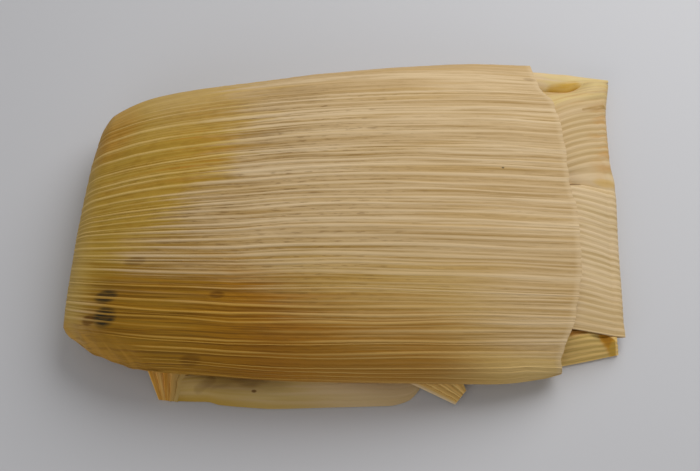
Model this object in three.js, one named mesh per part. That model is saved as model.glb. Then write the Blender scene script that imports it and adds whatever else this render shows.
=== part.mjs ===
import * as THREE from 'three';

// A tamale lying flat: masa wrapped in two corn husks, their fibres running along X.
// Millimetres. +X points to the folded end, +Y to the back and +Z up.
// The origin is on the table, under the middle of the whole tamale.

const HUSK_THICKNESS = 0.8;
const NEIGHBOUR_GAP = 0.35;

// Raised fibres of the husk.
const RIB_HEIGHT = 0.34;
const WEAKEST_RIB = 0.4;
const END_RIB_SHARE = 0.35;
const END_RIB_GAIN = 2;
const GOLDEN_SHARE = 0.618034;
const OVER_RIBS = 50;
const POINTS_PER_RIB = 4;
const RIB_PROFILE = [0, 0.3, 1, 0.3];

// Outlines of the wrap seen from above. A station runs from 0 at the closed left end
// to 1 at the free edge of the outer husk, which is called the mouth.
const LEFT_END_X = [[-27, -70.2], [-15, -69.2], [6, -67.0], [14, -66.4], [21, -65.5]];
const MOUTH_X = [
  [-39, 51.2], [-33, 51.9], [-26, 54.8], [-20, 56.0], [-14, 57.0], [-4, 57.3],
  [4, 56.8], [10, 55.6], [20, 55.2], [28, 54.1], [34, 52.6], [38, 49.6], [44, 48.2],
];
const FRONT_Y = [
  [0, -26.8], [0.026, -30.5], [0.066, -34.4], [0.13, -37.6], [0.28, -39.4], [0.5, -40.9],
  [0.72, -41.2], [0.87, -41.4], [0.96, -40.2], [1, -38.8],
];
const BACK_Y = [
  [0, 21.0], [0.015, 26.0], [0.04, 29.4], [0.13, 32.8], [0.32, 36.4], [0.54, 40.0],
  [0.72, 43.0], [0.86, 45.2], [1, 46.4],
];
const CROWN_Z = [
  [0, 15.6], [0.05, 18.8], [0.12, 22.8], [0.2, 25.6], [0.31, 27.4], [0.46, 27.8],
  [0.64, 25.4], [0.8, 20.6], [1, 13.0],
];
const SHOULDER_Z = [[0, 8.6], [0.3, 11.0], [0.6, 10.0], [1, 5.4]];

// Rounding of the wrap: how full its section is, and how bluntly its closed end rises.
const OVER_FULLNESS = 2.7;
const UNDER_FULLNESS = 3.0;
const FLAT_UNDERSIDE = 1.07;
const END_FULLNESS = 2.6;
const END_ROUNDING = 0.052;
const FIRST_END_ANGLE = 0.1;
const END_STATIONS = 6;
const LONG_STATIONS = 10;
const LONG_CROWDING = 1.25;
const UNDER_POINTS = 24;
const OUTLINE_SAMPLES = 480;

// Free edge of the outer husk, which stands proud of what it wraps.
const MOUTH_RECESS = 1.6;

// Folded end of the inner husk: it leaves the mouth, drops, and turns under itself.
const FOLD_FRONT_Y = -27.4;
const FOLD_BACK_Y = 37.4;
const FOLD_EDGE_X = [[-28, 68.0], [-18, 68.2], [-2, 68.2], [13, 68.8], [21, 67.6], [33, 67.9], [43, 69.3]];
const FOLD_RIBS = 34;
const FOLD_RADIUS = 2.5;
const FOLD_RETURN = 7.2;
const FOLD_TOP_Z = 2 * FOLD_RADIUS + HUSK_THICKNESS / 2;
const FOLD_HOLLOW = 1.4;
const FOLD_STEPS_DOWN = 5;
const FOLD_STEPS_ROUND = 4;
const FOLD_STEPS_BACK = 1;
const FOLD_STEPS = FOLD_STEPS_DOWN + FOLD_STEPS_ROUND + FOLD_STEPS_BACK;
const CREASE_Y = 12.4;
const CREASE_DEPTH = 1.5;
const CREASE_FRONT_WIDTH = 0.9;
const CREASE_BACK_WIDTH = 4.0;
const CREASE_FADE = 0.45;
const BACK_HALF_SPREAD = 0.3;
const FRONT_HALF_SPREAD = -0.06;
const SPREAD_BEND = 0.25;
const BACK_HALF_SINK = 1.6;
const BACK_SINK_WIDTH = 12.0;
const FOLD_WAVE = 0.3;
const FOLD_WAVES = 2.5;

// Layer that slopes from under the folded end down to the table at the front. Pairs of
// values hold at the mouth and at the right edge.
const UNDER_LAYER_RIGHT_X = 67.0;
const UNDER_LAYER_LEAN = 0.8;
const UNDER_LAYER_FRONT_Y = [-35.0, -32.4];
const UNDER_LAYER_BACK_Y = -29.0;
const UNDER_LAYER_TOP_Z = [8.2, 2.8];
const UNDER_LAYER_BULGE = 1.2;
const UNDER_LAYER_RIBS = 5;

// Rolled back corner of the folded end: [x, y, z, radius] along its axis. The husk turns
// round that axis between two angles, counted from the back over the top.
const CURL_AXIS = [
  [49.2, 43.0, 3.2, 3.0], [56.8, 42.6, 3.4, 2.9], [61.0, 43.3, 3.9, 1.9], [69.2, 44.2, 4.5, 0.9],
];
const CURL_FROM = -1.3;
const CURL_TO = 3.5;

// Smooth flap along the front foot.
const SIDE_FLAP_LEFT_X = -40.2;
const SIDE_FLAP_RIGHT_X = 16.5;
const SIDE_FLAP_EDGE_Y = [
  [-40.2, -43.9], [-30, -44.8], [-20, -45.4], [-6, -45.1], [6, -44.6], [12.8, -43.4], [16.5, -41.6],
];
const SIDE_FLAP_ROOT_Y = -37.6;
const SIDE_FLAP_BULGE = 2.3;
const SIDE_FLAP_TURN = 1.95;
const SIDE_FLAP_FALL = 0.8;

// Folded tail at the front left and the small pointed tab at the front.
const TAIL_CORNERS = [[-49.4, -36.2, 2.6], [-41.0, -37.4, 2.8], [-41.6, -44.0, 0.7], [-46.6, -43.4, 0.7]];
const TAIL_RIBS = 4;
const TAB_CORNERS = [[14.8, -39.6, 3.0], [27.6, -39.2, 3.0], [28.6, -41.9, 2.4], [25.9, -44.9, 1.0]];

const DRY_HUSK = 0xbca37a;
const DAMP_HUSK = 0x97793a;
const YELLOW_HUSK = 0xc3a468;
const SMOOTH_HUSK = 0x84704a;

// A smooth curve through [position, value] knots that never overshoots them.
function smoothThrough(knots) {
  const steps = knots.slice(1).map((knot, i) => (knot[1] - knots[i][1]) / (knot[0] - knots[i][0]));
  const slopes = knots.map((_, i) => {
    const before = steps[Math.max(i - 1, 0)];
    const after = steps[Math.min(i, steps.length - 1)];
    return before * after <= 0 ? 0 : (2 * before * after) / (before + after);
  });
  return (position) => {
    const x = THREE.MathUtils.clamp(position, knots[0][0], knots.at(-1)[0]);
    const i = Math.min(knots.filter((knot) => knot[0] <= x).length, knots.length - 1) - 1;
    const width = knots[i + 1][0] - knots[i][0];
    const t = (x - knots[i][0]) / width;
    const rise = t * t * (3 - 2 * t);
    return THREE.MathUtils.lerp(knots[i][1], knots[i + 1][1], rise)
      + width * t * (1 - t) * ((1 - t) * slopes[i] - t * slopes[i + 1]);
  };
}

const leftEndX = smoothThrough(LEFT_END_X);
const mouthX = smoothThrough(MOUTH_X);
const frontY = smoothThrough(FRONT_Y);
const backY = smoothThrough(BACK_Y);
const crownZ = smoothThrough(CROWN_Z);
const shoulderZ = smoothThrough(SHOULDER_Z);
const foldEdgeX = smoothThrough(FOLD_EDGE_X);
const sideFlapEdgeY = smoothThrough(SIDE_FLAP_EDGE_Y);
const curlY = smoothThrough(CURL_AXIS.map(([x, y]) => [x, y]));
const curlZ = smoothThrough(CURL_AXIS.map(([x, , z]) => [x, z]));
const curlRadius = smoothThrough(CURL_AXIS.map(([x, , , radius]) => [x, radius]));

const ribStrength = (rib) => WEAKEST_RIB + (1 - WEAKEST_RIB) * ((rib * GOLDEN_SHARE) % 1);
const bell = (distance, width) => Math.exp(-((distance / width) ** 2));
const roundedPower = (value, fullness) => Math.sign(value) * Math.abs(value) ** (2 / fullness);

// Spaces points evenly along a polyline of [y, z] points.
function spreadEvenly(points, intervals) {
  const path = new THREE.CurvePath();
  for (let i = 1; i < points.length; i++) {
    path.add(new THREE.LineCurve(points[i - 1], points[i]));
  }
  return Array.from({ length: intervals + 1 }, (_, i) => path.getPointAt(i / intervals));
}

// The closed outline of the wrap at one station, from the front edge over the top to the back
// edge and then underneath. An inset moves it inwards all round.
function wrapOutline(station, inset) {
  const front = frontY(station) + inset;
  const back = backY(station) - inset;
  const middle = (front + back) / 2;
  const half = (back - front) / 2;
  const shoulder = shoulderZ(station);
  const closing = Math.min(station / END_ROUNDING, 1);
  const rise = (1 - (1 - closing) ** END_FULLNESS) ** (1 / END_FULLNESS);
  const over = [];
  const under = [];
  for (let i = 0; i <= OUTLINE_SAMPLES; i++) {
    const angle = (Math.PI * i) / OUTLINE_SAMPLES;
    const lift = roundedPower(Math.sin(angle), OVER_FULLNESS);
    const drop = Math.min(FLAT_UNDERSIDE * roundedPower(Math.sin(angle), UNDER_FULLNESS), 1);
    const across = middle - half * roundedPower(Math.cos(angle), OVER_FULLNESS);
    over.push(new THREE.Vector2(across, shoulder + (crownZ(station) - inset - shoulder) * rise * lift));
    under.unshift(new THREE.Vector2(across, shoulder - (shoulder - inset) * rise * drop));
  }
  const overPoints = spreadEvenly(over, OVER_RIBS * POINTS_PER_RIB);
  const underPoints = spreadEvenly(under, UNDER_POINTS);
  return [...overPoints, ...underPoints.slice(1, -1)];
}

// One ring of the wrap. Its points lean with the slanting end and the curved mouth.
function wrapRing(station, inset, pushedIn) {
  return wrapOutline(station, inset).map(({ x: y, y: z }) => {
    const x = THREE.MathUtils.lerp(leftEndX(y), mouthX(y), station) - pushedIn;
    return new THREE.Vector3(x, y, Math.max(z, 0));
  });
}

// Ribs stand out along the surface; they are flat underneath and weaker at the closed end.
function raiseRibs(rings, stations) {
  const ringSize = rings[0].length;
  return rings.map((ring, r) => ring.map((point, i) => {
    if (i >= OVER_RIBS * POINTS_PER_RIB || r === 0) {
      return point;
    }
    const next = rings[Math.min(r + 1, rings.length - 1)];
    const along = next[i].clone().sub(rings[r - 1][i]);
    const across = ring[(i + 1) % ringSize].clone().sub(ring[(i + ringSize - 1) % ringSize]);
    const outwards = along.cross(across).normalize();
    const strength = ribStrength(Math.floor(i / POINTS_PER_RIB)) * RIB_PROFILE[i % POINTS_PER_RIB];
    const fading = Math.min(1, END_RIB_SHARE + END_RIB_GAIN * stations[r]);
    return point.clone().addScaledVector(outwards, RIB_HEIGHT * strength * fading);
  }));
}

function geometryFrom(points, triangles) {
  const geometry = new THREE.BufferGeometry();
  geometry.setFromPoints(points);
  geometry.setIndex(triangles.flat());
  geometry.computeVertexNormals();
  return geometry;
}

// Closes a ring with triangles between its upper and its lower chain, taken from front to back.
function zipRing(ring, first, overCount) {
  const size = ring.length;
  const upper = Array.from({ length: overCount + 1 }, (_, i) => i);
  const lower = Array.from({ length: size - overCount + 1 }, (_, i) => (size - i) % size);
  const triangles = [];
  let u = 0;
  let l = 0;
  while (u < upper.length - 1 || l < lower.length - 1) {
    const upperNext = u < upper.length - 1 ? ring[upper[u + 1]].y : Infinity;
    const lowerNext = l < lower.length - 1 ? ring[lower[l + 1]].y : Infinity;
    const advanceUpper = upperNext <= lowerNext;
    const third = advanceUpper ? upper[u + 1] : lower[l + 1];
    if (upper[u] !== lower[l] && third !== upper[u] && third !== lower[l]) {
      triangles.push([first + upper[u], first + third, first + lower[l]]);
    }
    u += advanceUpper ? 1 : 0;
    l += advanceUpper ? 0 : 1;
  }
  return triangles;
}

function wrapGeometry() {
  const stations = [];
  for (let i = 0; i < END_STATIONS; i++) {
    const angle = THREE.MathUtils.lerp(FIRST_END_ANGLE, Math.PI / 2, i / END_STATIONS);
    stations.push(END_ROUNDING * (1 - Math.cos(angle)));
  }
  for (let i = 0; i <= LONG_STATIONS; i++) {
    stations.push(THREE.MathUtils.lerp(END_ROUNDING, 1, (i / LONG_STATIONS) ** LONG_CROWDING));
  }
  const outside = raiseRibs(stations.map((station) => wrapRing(station, 0, 0)), stations);
  const lip = wrapRing(1, HUSK_THICKNESS, 0);
  const recess = wrapRing(1, HUSK_THICKNESS, MOUTH_RECESS);
  const rings = [...outside, lip, recess];
  const size = lip.length;
  const overCount = OVER_RIBS * POINTS_PER_RIB;
  const triangles = [];
  for (let r = 0; r < rings.length - 1; r++) {
    for (let i = 0; i < size; i++) {
      const here = r * size + i;
      const beside = r * size + ((i + 1) % size);
      triangles.push([here, here + size, beside], [beside, here + size, beside + size]);
    }
  }
  const last = (rings.length - 1) * size;
  triangles.push(...zipRing(rings[0], 0, overCount));
  triangles.push(...zipRing(rings.at(-1), last, overCount).map(([a, b, c]) => [a, c, b]));
  return geometryFrom(rings.flat(), triangles);
}

// A thin husk sheet around a surface(u, v), closed along its rim, with both faces split alike.
// The relief lifts both faces together.
function sheetGeometry(surface, stepsU, stepsV, relief = () => 0) {
  const middle = (u, v) => surface(THREE.MathUtils.clamp(u, 0, 1), THREE.MathUtils.clamp(v, 0, 1));
  const faces = [[], []];
  for (let i = 0; i <= stepsU; i++) {
    for (let j = 0; j <= stepsV; j++) {
      const u = i / stepsU;
      const v = j / stepsV;
      const alongU = middle(u + 0.5 / stepsU, v).sub(middle(u - 0.5 / stepsU, v));
      const alongV = middle(u, v + 0.5 / stepsV).sub(middle(u, v - 0.5 / stepsV));
      const up = new THREE.Vector3().crossVectors(alongU, alongV).normalize();
      const point = middle(u, v).addScaledVector(up, relief(i, j));
      faces[0].push(point.clone().addScaledVector(up, HUSK_THICKNESS / 2));
      faces[1].push(point.clone().addScaledVector(up, -HUSK_THICKNESS / 2));
    }
  }
  const points = faces.flat();
  points.forEach((point) => point.setZ(Math.max(point.z, 0)));
  const row = stepsV + 1;
  const below = faces[0].length;
  const triangles = [];
  for (let i = 0; i < stepsU; i++) {
    for (let j = 0; j < stepsV; j++) {
      const a = i * row + j;
      const corners = [a, a + row, a + row + 1, a + 1];
      triangles.push([corners[0], corners[1], corners[2]], [corners[0], corners[2], corners[3]]);
      const under = corners.map((corner) => corner + below);
      triangles.push([under[0], under[2], under[1]], [under[0], under[3], under[2]]);
    }
  }
  const rim = [];
  for (let i = 0; i < stepsU; i++) {
    rim.push(i * row);
  }
  for (let j = 0; j < stepsV; j++) {
    rim.push(stepsU * row + j);
  }
  for (let i = stepsU; i > 0; i--) {
    rim.push(i * row + stepsV);
  }
  for (let j = stepsV; j > 0; j--) {
    rim.push(j);
  }
  rim.forEach((here, k) => {
    const next = rim[(k + 1) % rim.length];
    triangles.push([here, here + below, next], [next, here + below, next + below]);
  });
  return geometryFrom(points, triangles);
}

// Height of the inner side of the mouth's lip, above a place across it.
function lipZ(y) {
  const front = frontY(1) + HUSK_THICKNESS;
  const back = backY(1) - HUSK_THICKNESS;
  const across = Math.min(Math.abs((2 * y - front - back) / (back - front)), 1);
  const lift = (1 - across ** OVER_FULLNESS) ** (1 / OVER_FULLNESS);
  return shoulderZ(1) + (crownZ(1) - HUSK_THICKNESS - shoulderZ(1)) * lift;
}

// A point of the folded end: travel runs down from the mouth, round the fold and back
// underneath; v runs across from front to back.
function foldedEndPoint(travel, v) {
  const progress = travel * FOLD_STEPS;
  const down = THREE.MathUtils.clamp(progress / FOLD_STEPS_DOWN, 0, 1);
  const turned = Math.PI * THREE.MathUtils.clamp((progress - FOLD_STEPS_DOWN) / FOLD_STEPS_ROUND, 0, 1);
  const under = Math.max(progress - FOLD_STEPS_DOWN - FOLD_STEPS_ROUND, 0) / FOLD_STEPS_BACK;
  const y = THREE.MathUtils.lerp(FOLD_FRONT_Y, FOLD_BACK_Y, v);
  const fromCrease = y - CREASE_Y;
  const inBackHalf = fromCrease > 0;
  const creaseShape = bell(fromCrease, inBackHalf ? CREASE_BACK_WIDTH : CREASE_FRONT_WIDTH);
  const spread = inBackHalf ? BACK_HALF_SPREAD * (1 - creaseShape) : FRONT_HALF_SPREAD;
  const sink = inBackHalf ? BACK_HALF_SINK * bell(fromCrease, BACK_SINK_WIDTH) : 0;
  const startX = mouthX(y) - MOUTH_RECESS + NEIGHBOUR_GAP;
  const startZ = lipZ(y) - HUSK_THICKNESS / 2 - NEIGHBOUR_GAP - RIB_HEIGHT - sink;
  const edgeX = foldEdgeX(y + spread * (foldEdgeX(y) - startX)) - FOLD_RADIUS;
  const x = THREE.MathUtils.lerp(startX, edgeX, down);
  const wave = FOLD_WAVE * Math.sin(2 * Math.PI * FOLD_WAVES * v) * down;
  const crease = CREASE_DEPTH * creaseShape * (1 - CREASE_FADE * down);
  const overZ = THREE.MathUtils.lerp(startZ, FOLD_TOP_Z, down ** FOLD_HOLLOW) + wave - crease;
  return new THREE.Vector3(
    x + FOLD_RADIUS * Math.sin(turned) - FOLD_RETURN * under,
    y + spread * (x - startX) * (1 + SPREAD_BEND * (1 - down)),
    THREE.MathUtils.lerp(HUSK_THICKNESS / 2, overZ, (1 + Math.cos(turned)) / 2),
  );
}

function foldedEndGeometry() {
  const relief = (i, j) => {
    const raised = THREE.MathUtils.clamp((FOLD_STEPS - FOLD_STEPS_BACK - i) / FOLD_STEPS_ROUND, 0, 1);
    return j % 2 === 1 ? RIB_HEIGHT * ribStrength(j) * raised : 0;
  };
  return sheetGeometry(foldedEndPoint, FOLD_STEPS, 2 * FOLD_RIBS, relief);
}

// The layer under the folded end: u runs right from the mouth, v up from the table to the fold.
function underLayerGeometry() {
  const surface = (u, v) => {
    const frontEdgeY = THREE.MathUtils.lerp(UNDER_LAYER_FRONT_Y[0], UNDER_LAYER_FRONT_Y[1], u);
    const y = THREE.MathUtils.lerp(frontEdgeY, UNDER_LAYER_BACK_Y, v);
    const leftX = mouthX(y) + NEIGHBOUR_GAP + HUSK_THICKNESS / 2;
    const rightX = UNDER_LAYER_RIGHT_X + UNDER_LAYER_LEAN * v;
    const topZ = THREE.MathUtils.lerp(UNDER_LAYER_TOP_Z[0], UNDER_LAYER_TOP_Z[1], Math.sqrt(u));
    const z = THREE.MathUtils.lerp(topZ, HUSK_THICKNESS / 2, (1 - v) ** UNDER_LAYER_BULGE);
    return new THREE.Vector3(THREE.MathUtils.lerp(leftX, rightX, u), y, z);
  };
  const relief = (i, j) => (j % 2 === 1 ? RIB_HEIGHT / 2 : 0);
  return sheetGeometry(surface, 8, 2 * UNDER_LAYER_RIBS, relief);
}

// The rolled corner: u runs right along its axis, v round it.
function curlGeometry() {
  const surface = (u, v) => {
    const x = THREE.MathUtils.lerp(CURL_AXIS[0][0], CURL_AXIS.at(-1)[0], u);
    const angle = THREE.MathUtils.lerp(CURL_FROM, CURL_TO, v);
    const radius = curlRadius(x) - HUSK_THICKNESS / 2;
    return new THREE.Vector3(x, curlY(x) + radius * Math.cos(angle), curlZ(x) + radius * Math.sin(angle));
  };
  return sheetGeometry(surface, 12, 10);
}

// The side flap: u runs right along the foot, v from the free edge to the wrap.
function sideFlapGeometry() {
  const surface = (u, v) => {
    const x = THREE.MathUtils.lerp(SIDE_FLAP_LEFT_X, SIDE_FLAP_RIGHT_X, u);
    const y = THREE.MathUtils.lerp(sideFlapEdgeY(x), SIDE_FLAP_ROOT_Y, v);
    const bulge = SIDE_FLAP_BULGE * Math.sin(SIDE_FLAP_TURN * v) * (1 - SIDE_FLAP_FALL * u ** 3);
    return new THREE.Vector3(x, y, HUSK_THICKNESS / 2 + bulge);
  };
  return sheetGeometry(surface, 22, 6);
}

// A husk tip spanned between four corners: two at its root, then two at its free edge.
function cornerSurface(corners) {
  const [rootA, rootB, tipB, tipA] = corners.map((corner) => new THREE.Vector3(...corner));
  return (u, v) => {
    const root = rootA.clone().lerp(rootB, u);
    const tip = tipA.clone().lerp(tipB, u);
    return tip.lerp(root, v);
  };
}

function tailGeometry() {
  const relief = (i) => (i % 2 === 1 ? RIB_HEIGHT : 0);
  return sheetGeometry(cornerSurface(TAIL_CORNERS), 2 * TAIL_RIBS, 5, relief);
}

function tabGeometry() {
  return sheetGeometry(cornerSurface(TAB_CORNERS), 5, 4);
}

function piece(name, geometry, colour, roughness) {
  const husk = new THREE.MeshStandardMaterial({ color: colour, roughness, metalness: 0 });
  const mesh = new THREE.Mesh(geometry, husk);
  mesh.name = name;
  return mesh;
}

const tamale = new THREE.Group();
tamale.add(
  piece('wrapped_body', wrapGeometry(), DRY_HUSK, 0.72),
  piece('end_fold', foldedEndGeometry(), DRY_HUSK, 0.72),
  piece('end_under_layer', underLayerGeometry(), YELLOW_HUSK, 0.7),
  piece('end_curl', curlGeometry(), YELLOW_HUSK, 0.6),
  piece('side_flap', sideFlapGeometry(), SMOOTH_HUSK, 0.65),
  piece('tail_corner', tailGeometry(), DAMP_HUSK, 0.6),
  piece('corner_tab', tabGeometry(), SMOOTH_HUSK, 0.7),
);

export default tamale;
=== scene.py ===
"""A tamale lying flat: masa wrapped in two corn husks, whose ribs run along X.

Sizes and places are in millimetres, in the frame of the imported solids, and become metres in the
meshes. Seen from above, +X points to the folded end and +Y to the back. A pair of numbers is a
range, or the values at its two ends.
"""

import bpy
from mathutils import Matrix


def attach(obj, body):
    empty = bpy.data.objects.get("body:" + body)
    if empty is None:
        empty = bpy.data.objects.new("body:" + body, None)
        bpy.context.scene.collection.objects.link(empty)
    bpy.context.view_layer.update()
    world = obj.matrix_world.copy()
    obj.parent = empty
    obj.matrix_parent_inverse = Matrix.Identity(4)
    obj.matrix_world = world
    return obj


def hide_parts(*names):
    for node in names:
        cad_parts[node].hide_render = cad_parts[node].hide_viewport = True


bl_info = {
    "name": "Tamale",
    "version": (1, 0, 0),
    "blender": (4, 5, 0),
    "location": "View3D > Sidebar > Tamale",
    "description": "Models a husk-wrapped tamale around its packed solids",
    "category": "Add Mesh",
}

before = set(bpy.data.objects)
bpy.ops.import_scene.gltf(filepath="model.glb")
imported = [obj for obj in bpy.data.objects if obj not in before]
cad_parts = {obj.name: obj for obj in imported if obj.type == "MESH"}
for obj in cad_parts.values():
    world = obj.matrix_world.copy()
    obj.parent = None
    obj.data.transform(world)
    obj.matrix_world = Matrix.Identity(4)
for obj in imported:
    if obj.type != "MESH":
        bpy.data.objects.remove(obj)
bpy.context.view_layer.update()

import math

import bmesh
import bpy
import numpy as np
from bpy.props import FloatProperty, FloatVectorProperty, PointerProperty
from mathutils import Vector

MM = 0.001
FIBRE_MAP = "fibres"
RIB_ATTRIBUTE = "rib"
SMOOTH_ANGLE = 70
MERGE_DISTANCE = 0.002

# Outlines and heights of the wrap, as (place, value) knots. The two X outlines go by Y, and the
# others by station. A station runs from 0 at the closed left end to 1 at the mouth, which is the
# free edge of the outer husk.
LEFT_END_X = [(-27.2, -70.3), (-15, -69.5), (6, -67.3), (14, -66.5), (21, -65.5)]
MOUTH_X = [
    (-39, 51.8), (-36, 51.4), (-33, 52.3), (-26, 54.8), (-20, 56.0), (-14, 57.0), (-4, 57.3),
    (4, 56.8), (10, 55.6), (20, 55.2), (28, 54.1), (34, 52.6), (38, 49.6), (44, 48.2),
]
FRONT_Y = [
    (0, -27.2), (0.02, -29.9), (0.06, -33.4), (0.1, -35.5), (0.15, -37.6), (0.28, -39.3),
    (0.5, -40.9), (0.72, -41.1), (0.87, -40.6), (0.96, -39.1), (1, -37.8),
]
BACK_Y = [
    (0, 21.0), (0.015, 26.2), (0.04, 29.9), (0.13, 33.7), (0.32, 36.8), (0.54, 40.4),
    (0.72, 43.5), (0.86, 45.8), (1, 47.1),
]
CROWN_Z = [
    (0, 15.6), (0.05, 18.8), (0.12, 22.8), (0.2, 25.6), (0.31, 27.4), (0.46, 27.8),
    (0.64, 25.4), (0.8, 20.6), (1, 13.0),
]
SHOULDER_Z = [(0, 8.6), (0.3, 11.0), (0.6, 10.0), (1, 5.4)]

# Rounding of the wrap, and the points that its surface is made of.
OVER_FULLNESS = 2.7
UNDER_FULLNESS = 3.0
FLAT_UNDERSIDE = 1.07
END_FULLNESS = 2.6
END_ROUNDING = 0.052
FIRST_END_ANGLE = 0.012
OUTLINE_SAMPLES = 480
END_STATIONS = 18
LONG_STATIONS = 150
WRAP_LENGTH = 124.0
WRAP_WIDTH = 100.0

# How the wrap's ribs run. They keep their shares of the outline at one station. From there they
# drift to the back by slopes that hold at the front and at the back of the wrap, and change over
# a range of shares.
COURSE_STATION = 0.34
COURSE_HOLD = 0.92
EDGE_SHARE = 0.12
RIB_GUIDES = 61
RIB_LEAN = 0.4
LEAN_SHARES = (0.55, 0.3)
BACK_GUIDE = 0.8
RIGHT_RISE = (0.035, 0.11)
RIGHT_RISE_SHARES = (0.3, 0.9)
RIGHT_BEND = (0.0013, 0.0012)
RIGHT_BEND_SHARES = (0.3, 0.7)
LEFT_RISE = (-0.02, 0.055)
LEFT_RISE_SHARES = (0.35, 0.65)
LEFT_EDGE_RISE = 0.1
LEFT_EDGE_SHARES = (0.7, 1)
SAG_DEPTH = 1.5
SAG_REACH = (-14.0, 22.0)
SAG_SHARES = (0.36, 0.22)

# Ribs of any husk. Places lead from one rib at 0 to the next at 1. A fine rib lies between two
# ribs, and is higher in the front share of them.
OVER_PLACES = (0, 0.09, 0.18, 0.3, 0.42, 0.55, 0.7, 0.82, 0.91)
UNDER_PLACES = (0, 0.5)
LEAF_PLACES = (0, 0.12, 0.28, 0.5, 0.72, 0.88)
GAP_SPREAD = 0.35
WEAKEST_RIB = 0.3
STRONG_RIB = 0.7
FLATTEST_RIB = 0.1
RIB_SHARPNESS = (2.0, 5.2)
RIB_SWELL = 0.35
SWELLS_ALONG = 9
OWN_WAVES = (1.0, 4.0)
OWN_WANDER = 0.13
SHARED_WANDER = 0.3
SHARED_CELLS = (4, 7)
FINE_RIB = (0.1, 0.6)
FRONT_FINE_RIB = (0.35, 0.85)
FRONT_RIBS = 0.36
FINE_RIB_PLACES = (0.42, 0.55)
FINE_RIB_WIDTH = 0.09

# The wrap's own ribs: they soften over its back left part, sharpen where it is damp, fade on the
# back side, and vanish where they are squeezed together.
WRAP_RIBS = 51
WRAP_SEED = 11
FAINT_RIB = 0.5
FAINT_RIBS = (0.5, 0.62)
BROAD_RIB = 0.5
CRISP_FROM = (0.3, 0.62)
BACK_RIB = 0.32
BACK_RIBS = (0.74, 0.87)
DAMP_SHARPNESS = 1.25
DRY_RIB = 0.62
SHARPER_X = (4.0, -42.0)
SQUEEZED = (0.2, 0.65)
UNDERSIDE_EDGE = 0.06
RELIEF_FROM = (-0.003, 0.01)

# Uneven relief of the wrap. Noise is given as its cells along and across, and its seed.
LUMP_HEIGHT = 0.25
LUMPS = ((8, 7), 41)
CRINKLE_HEIGHT = 0.13
CRINKLES = ((70, 2 * WRAP_RIBS), 31)
CRINKLED_X = -22.0
CRINKLED_WIDTH = 26.0
LEAST_CRINKLED = 0.35

# The front left corner: a slanting line cuts it off, and fine creases cross it below that line.
CORNER_POINT = (-66.0, -27.6)
BELOW_CORNER = (-0.5, -1.0)
CORNER_X = (-44.0, -54.0)
CORNER_FROM = (-2.0, 2.5)
CORNER_RIB_LOSS = 0.8
CREASE_HEIGHT = 0.22
CREASE_RATE = 2.3
CREASE_ACROSS = (0.82, 0.57)
CREASE_BEND = 2.0
CREASE_BENDS = ((12, 12), 51)

# The mouth: a ragged leaf-thick edge, and the hollow behind it where the inner husk comes out.
MOUTH_DEPTH = 4.6
MOUTH_NARROWING = 0.985
RAGGED = 0.22
RAGGED_NOISE = ((1, 60), 61)
RAGGED_FADE = 30

# The folded end of the inner husk. Its travel is counted in steps: down from the mouth, round
# the fold, and back underneath. Below 0 it is inside the mouth.
FOLD_FRONT_Y = -27.6
FOLD_BACK_Y = 41.0
FOLD_EDGE_X = [
    (-28, 68.0), (-18, 68.3), (-2, 68.5), (13, 68.9), (21, 68.0), (33, 67.9), (43, 69.3),
]
FOLD_RADIUS = 2.5
FOLD_RETURN = 7.2
SOLID_LEAF = 0.8
SOLID_RIB = 0.34
NEIGHBOUR_GAP = 0.35
FOLD_TOP_Z = 2 * FOLD_RADIUS + SOLID_LEAF / 2
FOLD_HOLLOW = 1.4
STEPS_INSIDE = 2.0
STEPS_DOWN = 5.0
STEPS_ROUND = 4.0
STEPS_BACK = 1.0
INSIDE_STEP = 1.4
INSIDE_RISE = 0.15
SOLID_RECESS = 1.6
CREASE_Y = 11.2
CREASE_DEPTH = 1.5
CREASE_FRONT_WIDTH = 0.9
CREASE_BACK_WIDTH = 2.4
CREASE_FADE = 0.45
BACK_HALF_SPREAD = 0.45
BACK_EDGE_SPREAD = 0.09
BACK_EDGE_WIDTH = 10.0
FRONT_HALF_SPREAD = -0.06
FRONT_SPREAD_WIDTH = 8.0
SPREAD_BEND = 0.35
BACK_HALF_SINK = 1.6
BACK_SINK_WIDTH = 12.0
FOLD_WAVE = 0.3
FOLD_WAVES = 2.5
# The folded end is smooth beyond a share of its width, and sinks into a valley there.
SMOOTH_FROM = 0.858
SMOOTH_FADE = 0.035
VALLEY_DEPTH = 4.2
VALLEY_DOWN = (0.95, 0.5)
TUCK_DEPTH = 0.3
TUCK_WIDTH = 0.012
TUCK_DOWN = (0.45, 0.8)
PINCH_WIDTH = 0.045
PINCHED_GAP = 1.1

# The layer that slopes from under the folded end to the table. Pairs hold at the mouth and at
# the right edge.
UNDER_LAYER_RIGHT_X = 67.0
UNDER_LAYER_LEAN = 1.0
UNDER_LAYER_HIDDEN = 3.0
UNDER_LAYER_FRONT_Y = (-35.0, -31.4)
UNDER_LAYER_BACK_Y = -29.0
UNDER_LAYER_TUCK = 1.5
UNDER_LAYER_FAN = 1.1
UNDER_LAYER_TOP_Z = (8.8, 4.5)
UNDER_LAYER_BULGE = 1.2
UNDER_LAYER_HOLLOW = 1.4
POCKET_FROM = 0.72
POCKET_RISE = 0.3
POCKET_SAG = 1.1
POCKET_SAG_WIDTH = 0.14

# The rolled corner: (x, y, z, radius) along its axis, and the angles that the leaf turns through,
# counted from the back over the top.
CURL_AXIS = [
    (46.8, 42.4, 5.0, 2.2), (49.2, 43.1, 4.4, 3.3), (56.8, 42.5, 4.2, 3.3), (61.0, 43.0, 4.3, 2.2),
    (69.2, 43.3, 4.6, 0.6),
]
CURL_ANGLES = (-1.3, 4.3)
CURL_FLATNESS = 0.5

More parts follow.
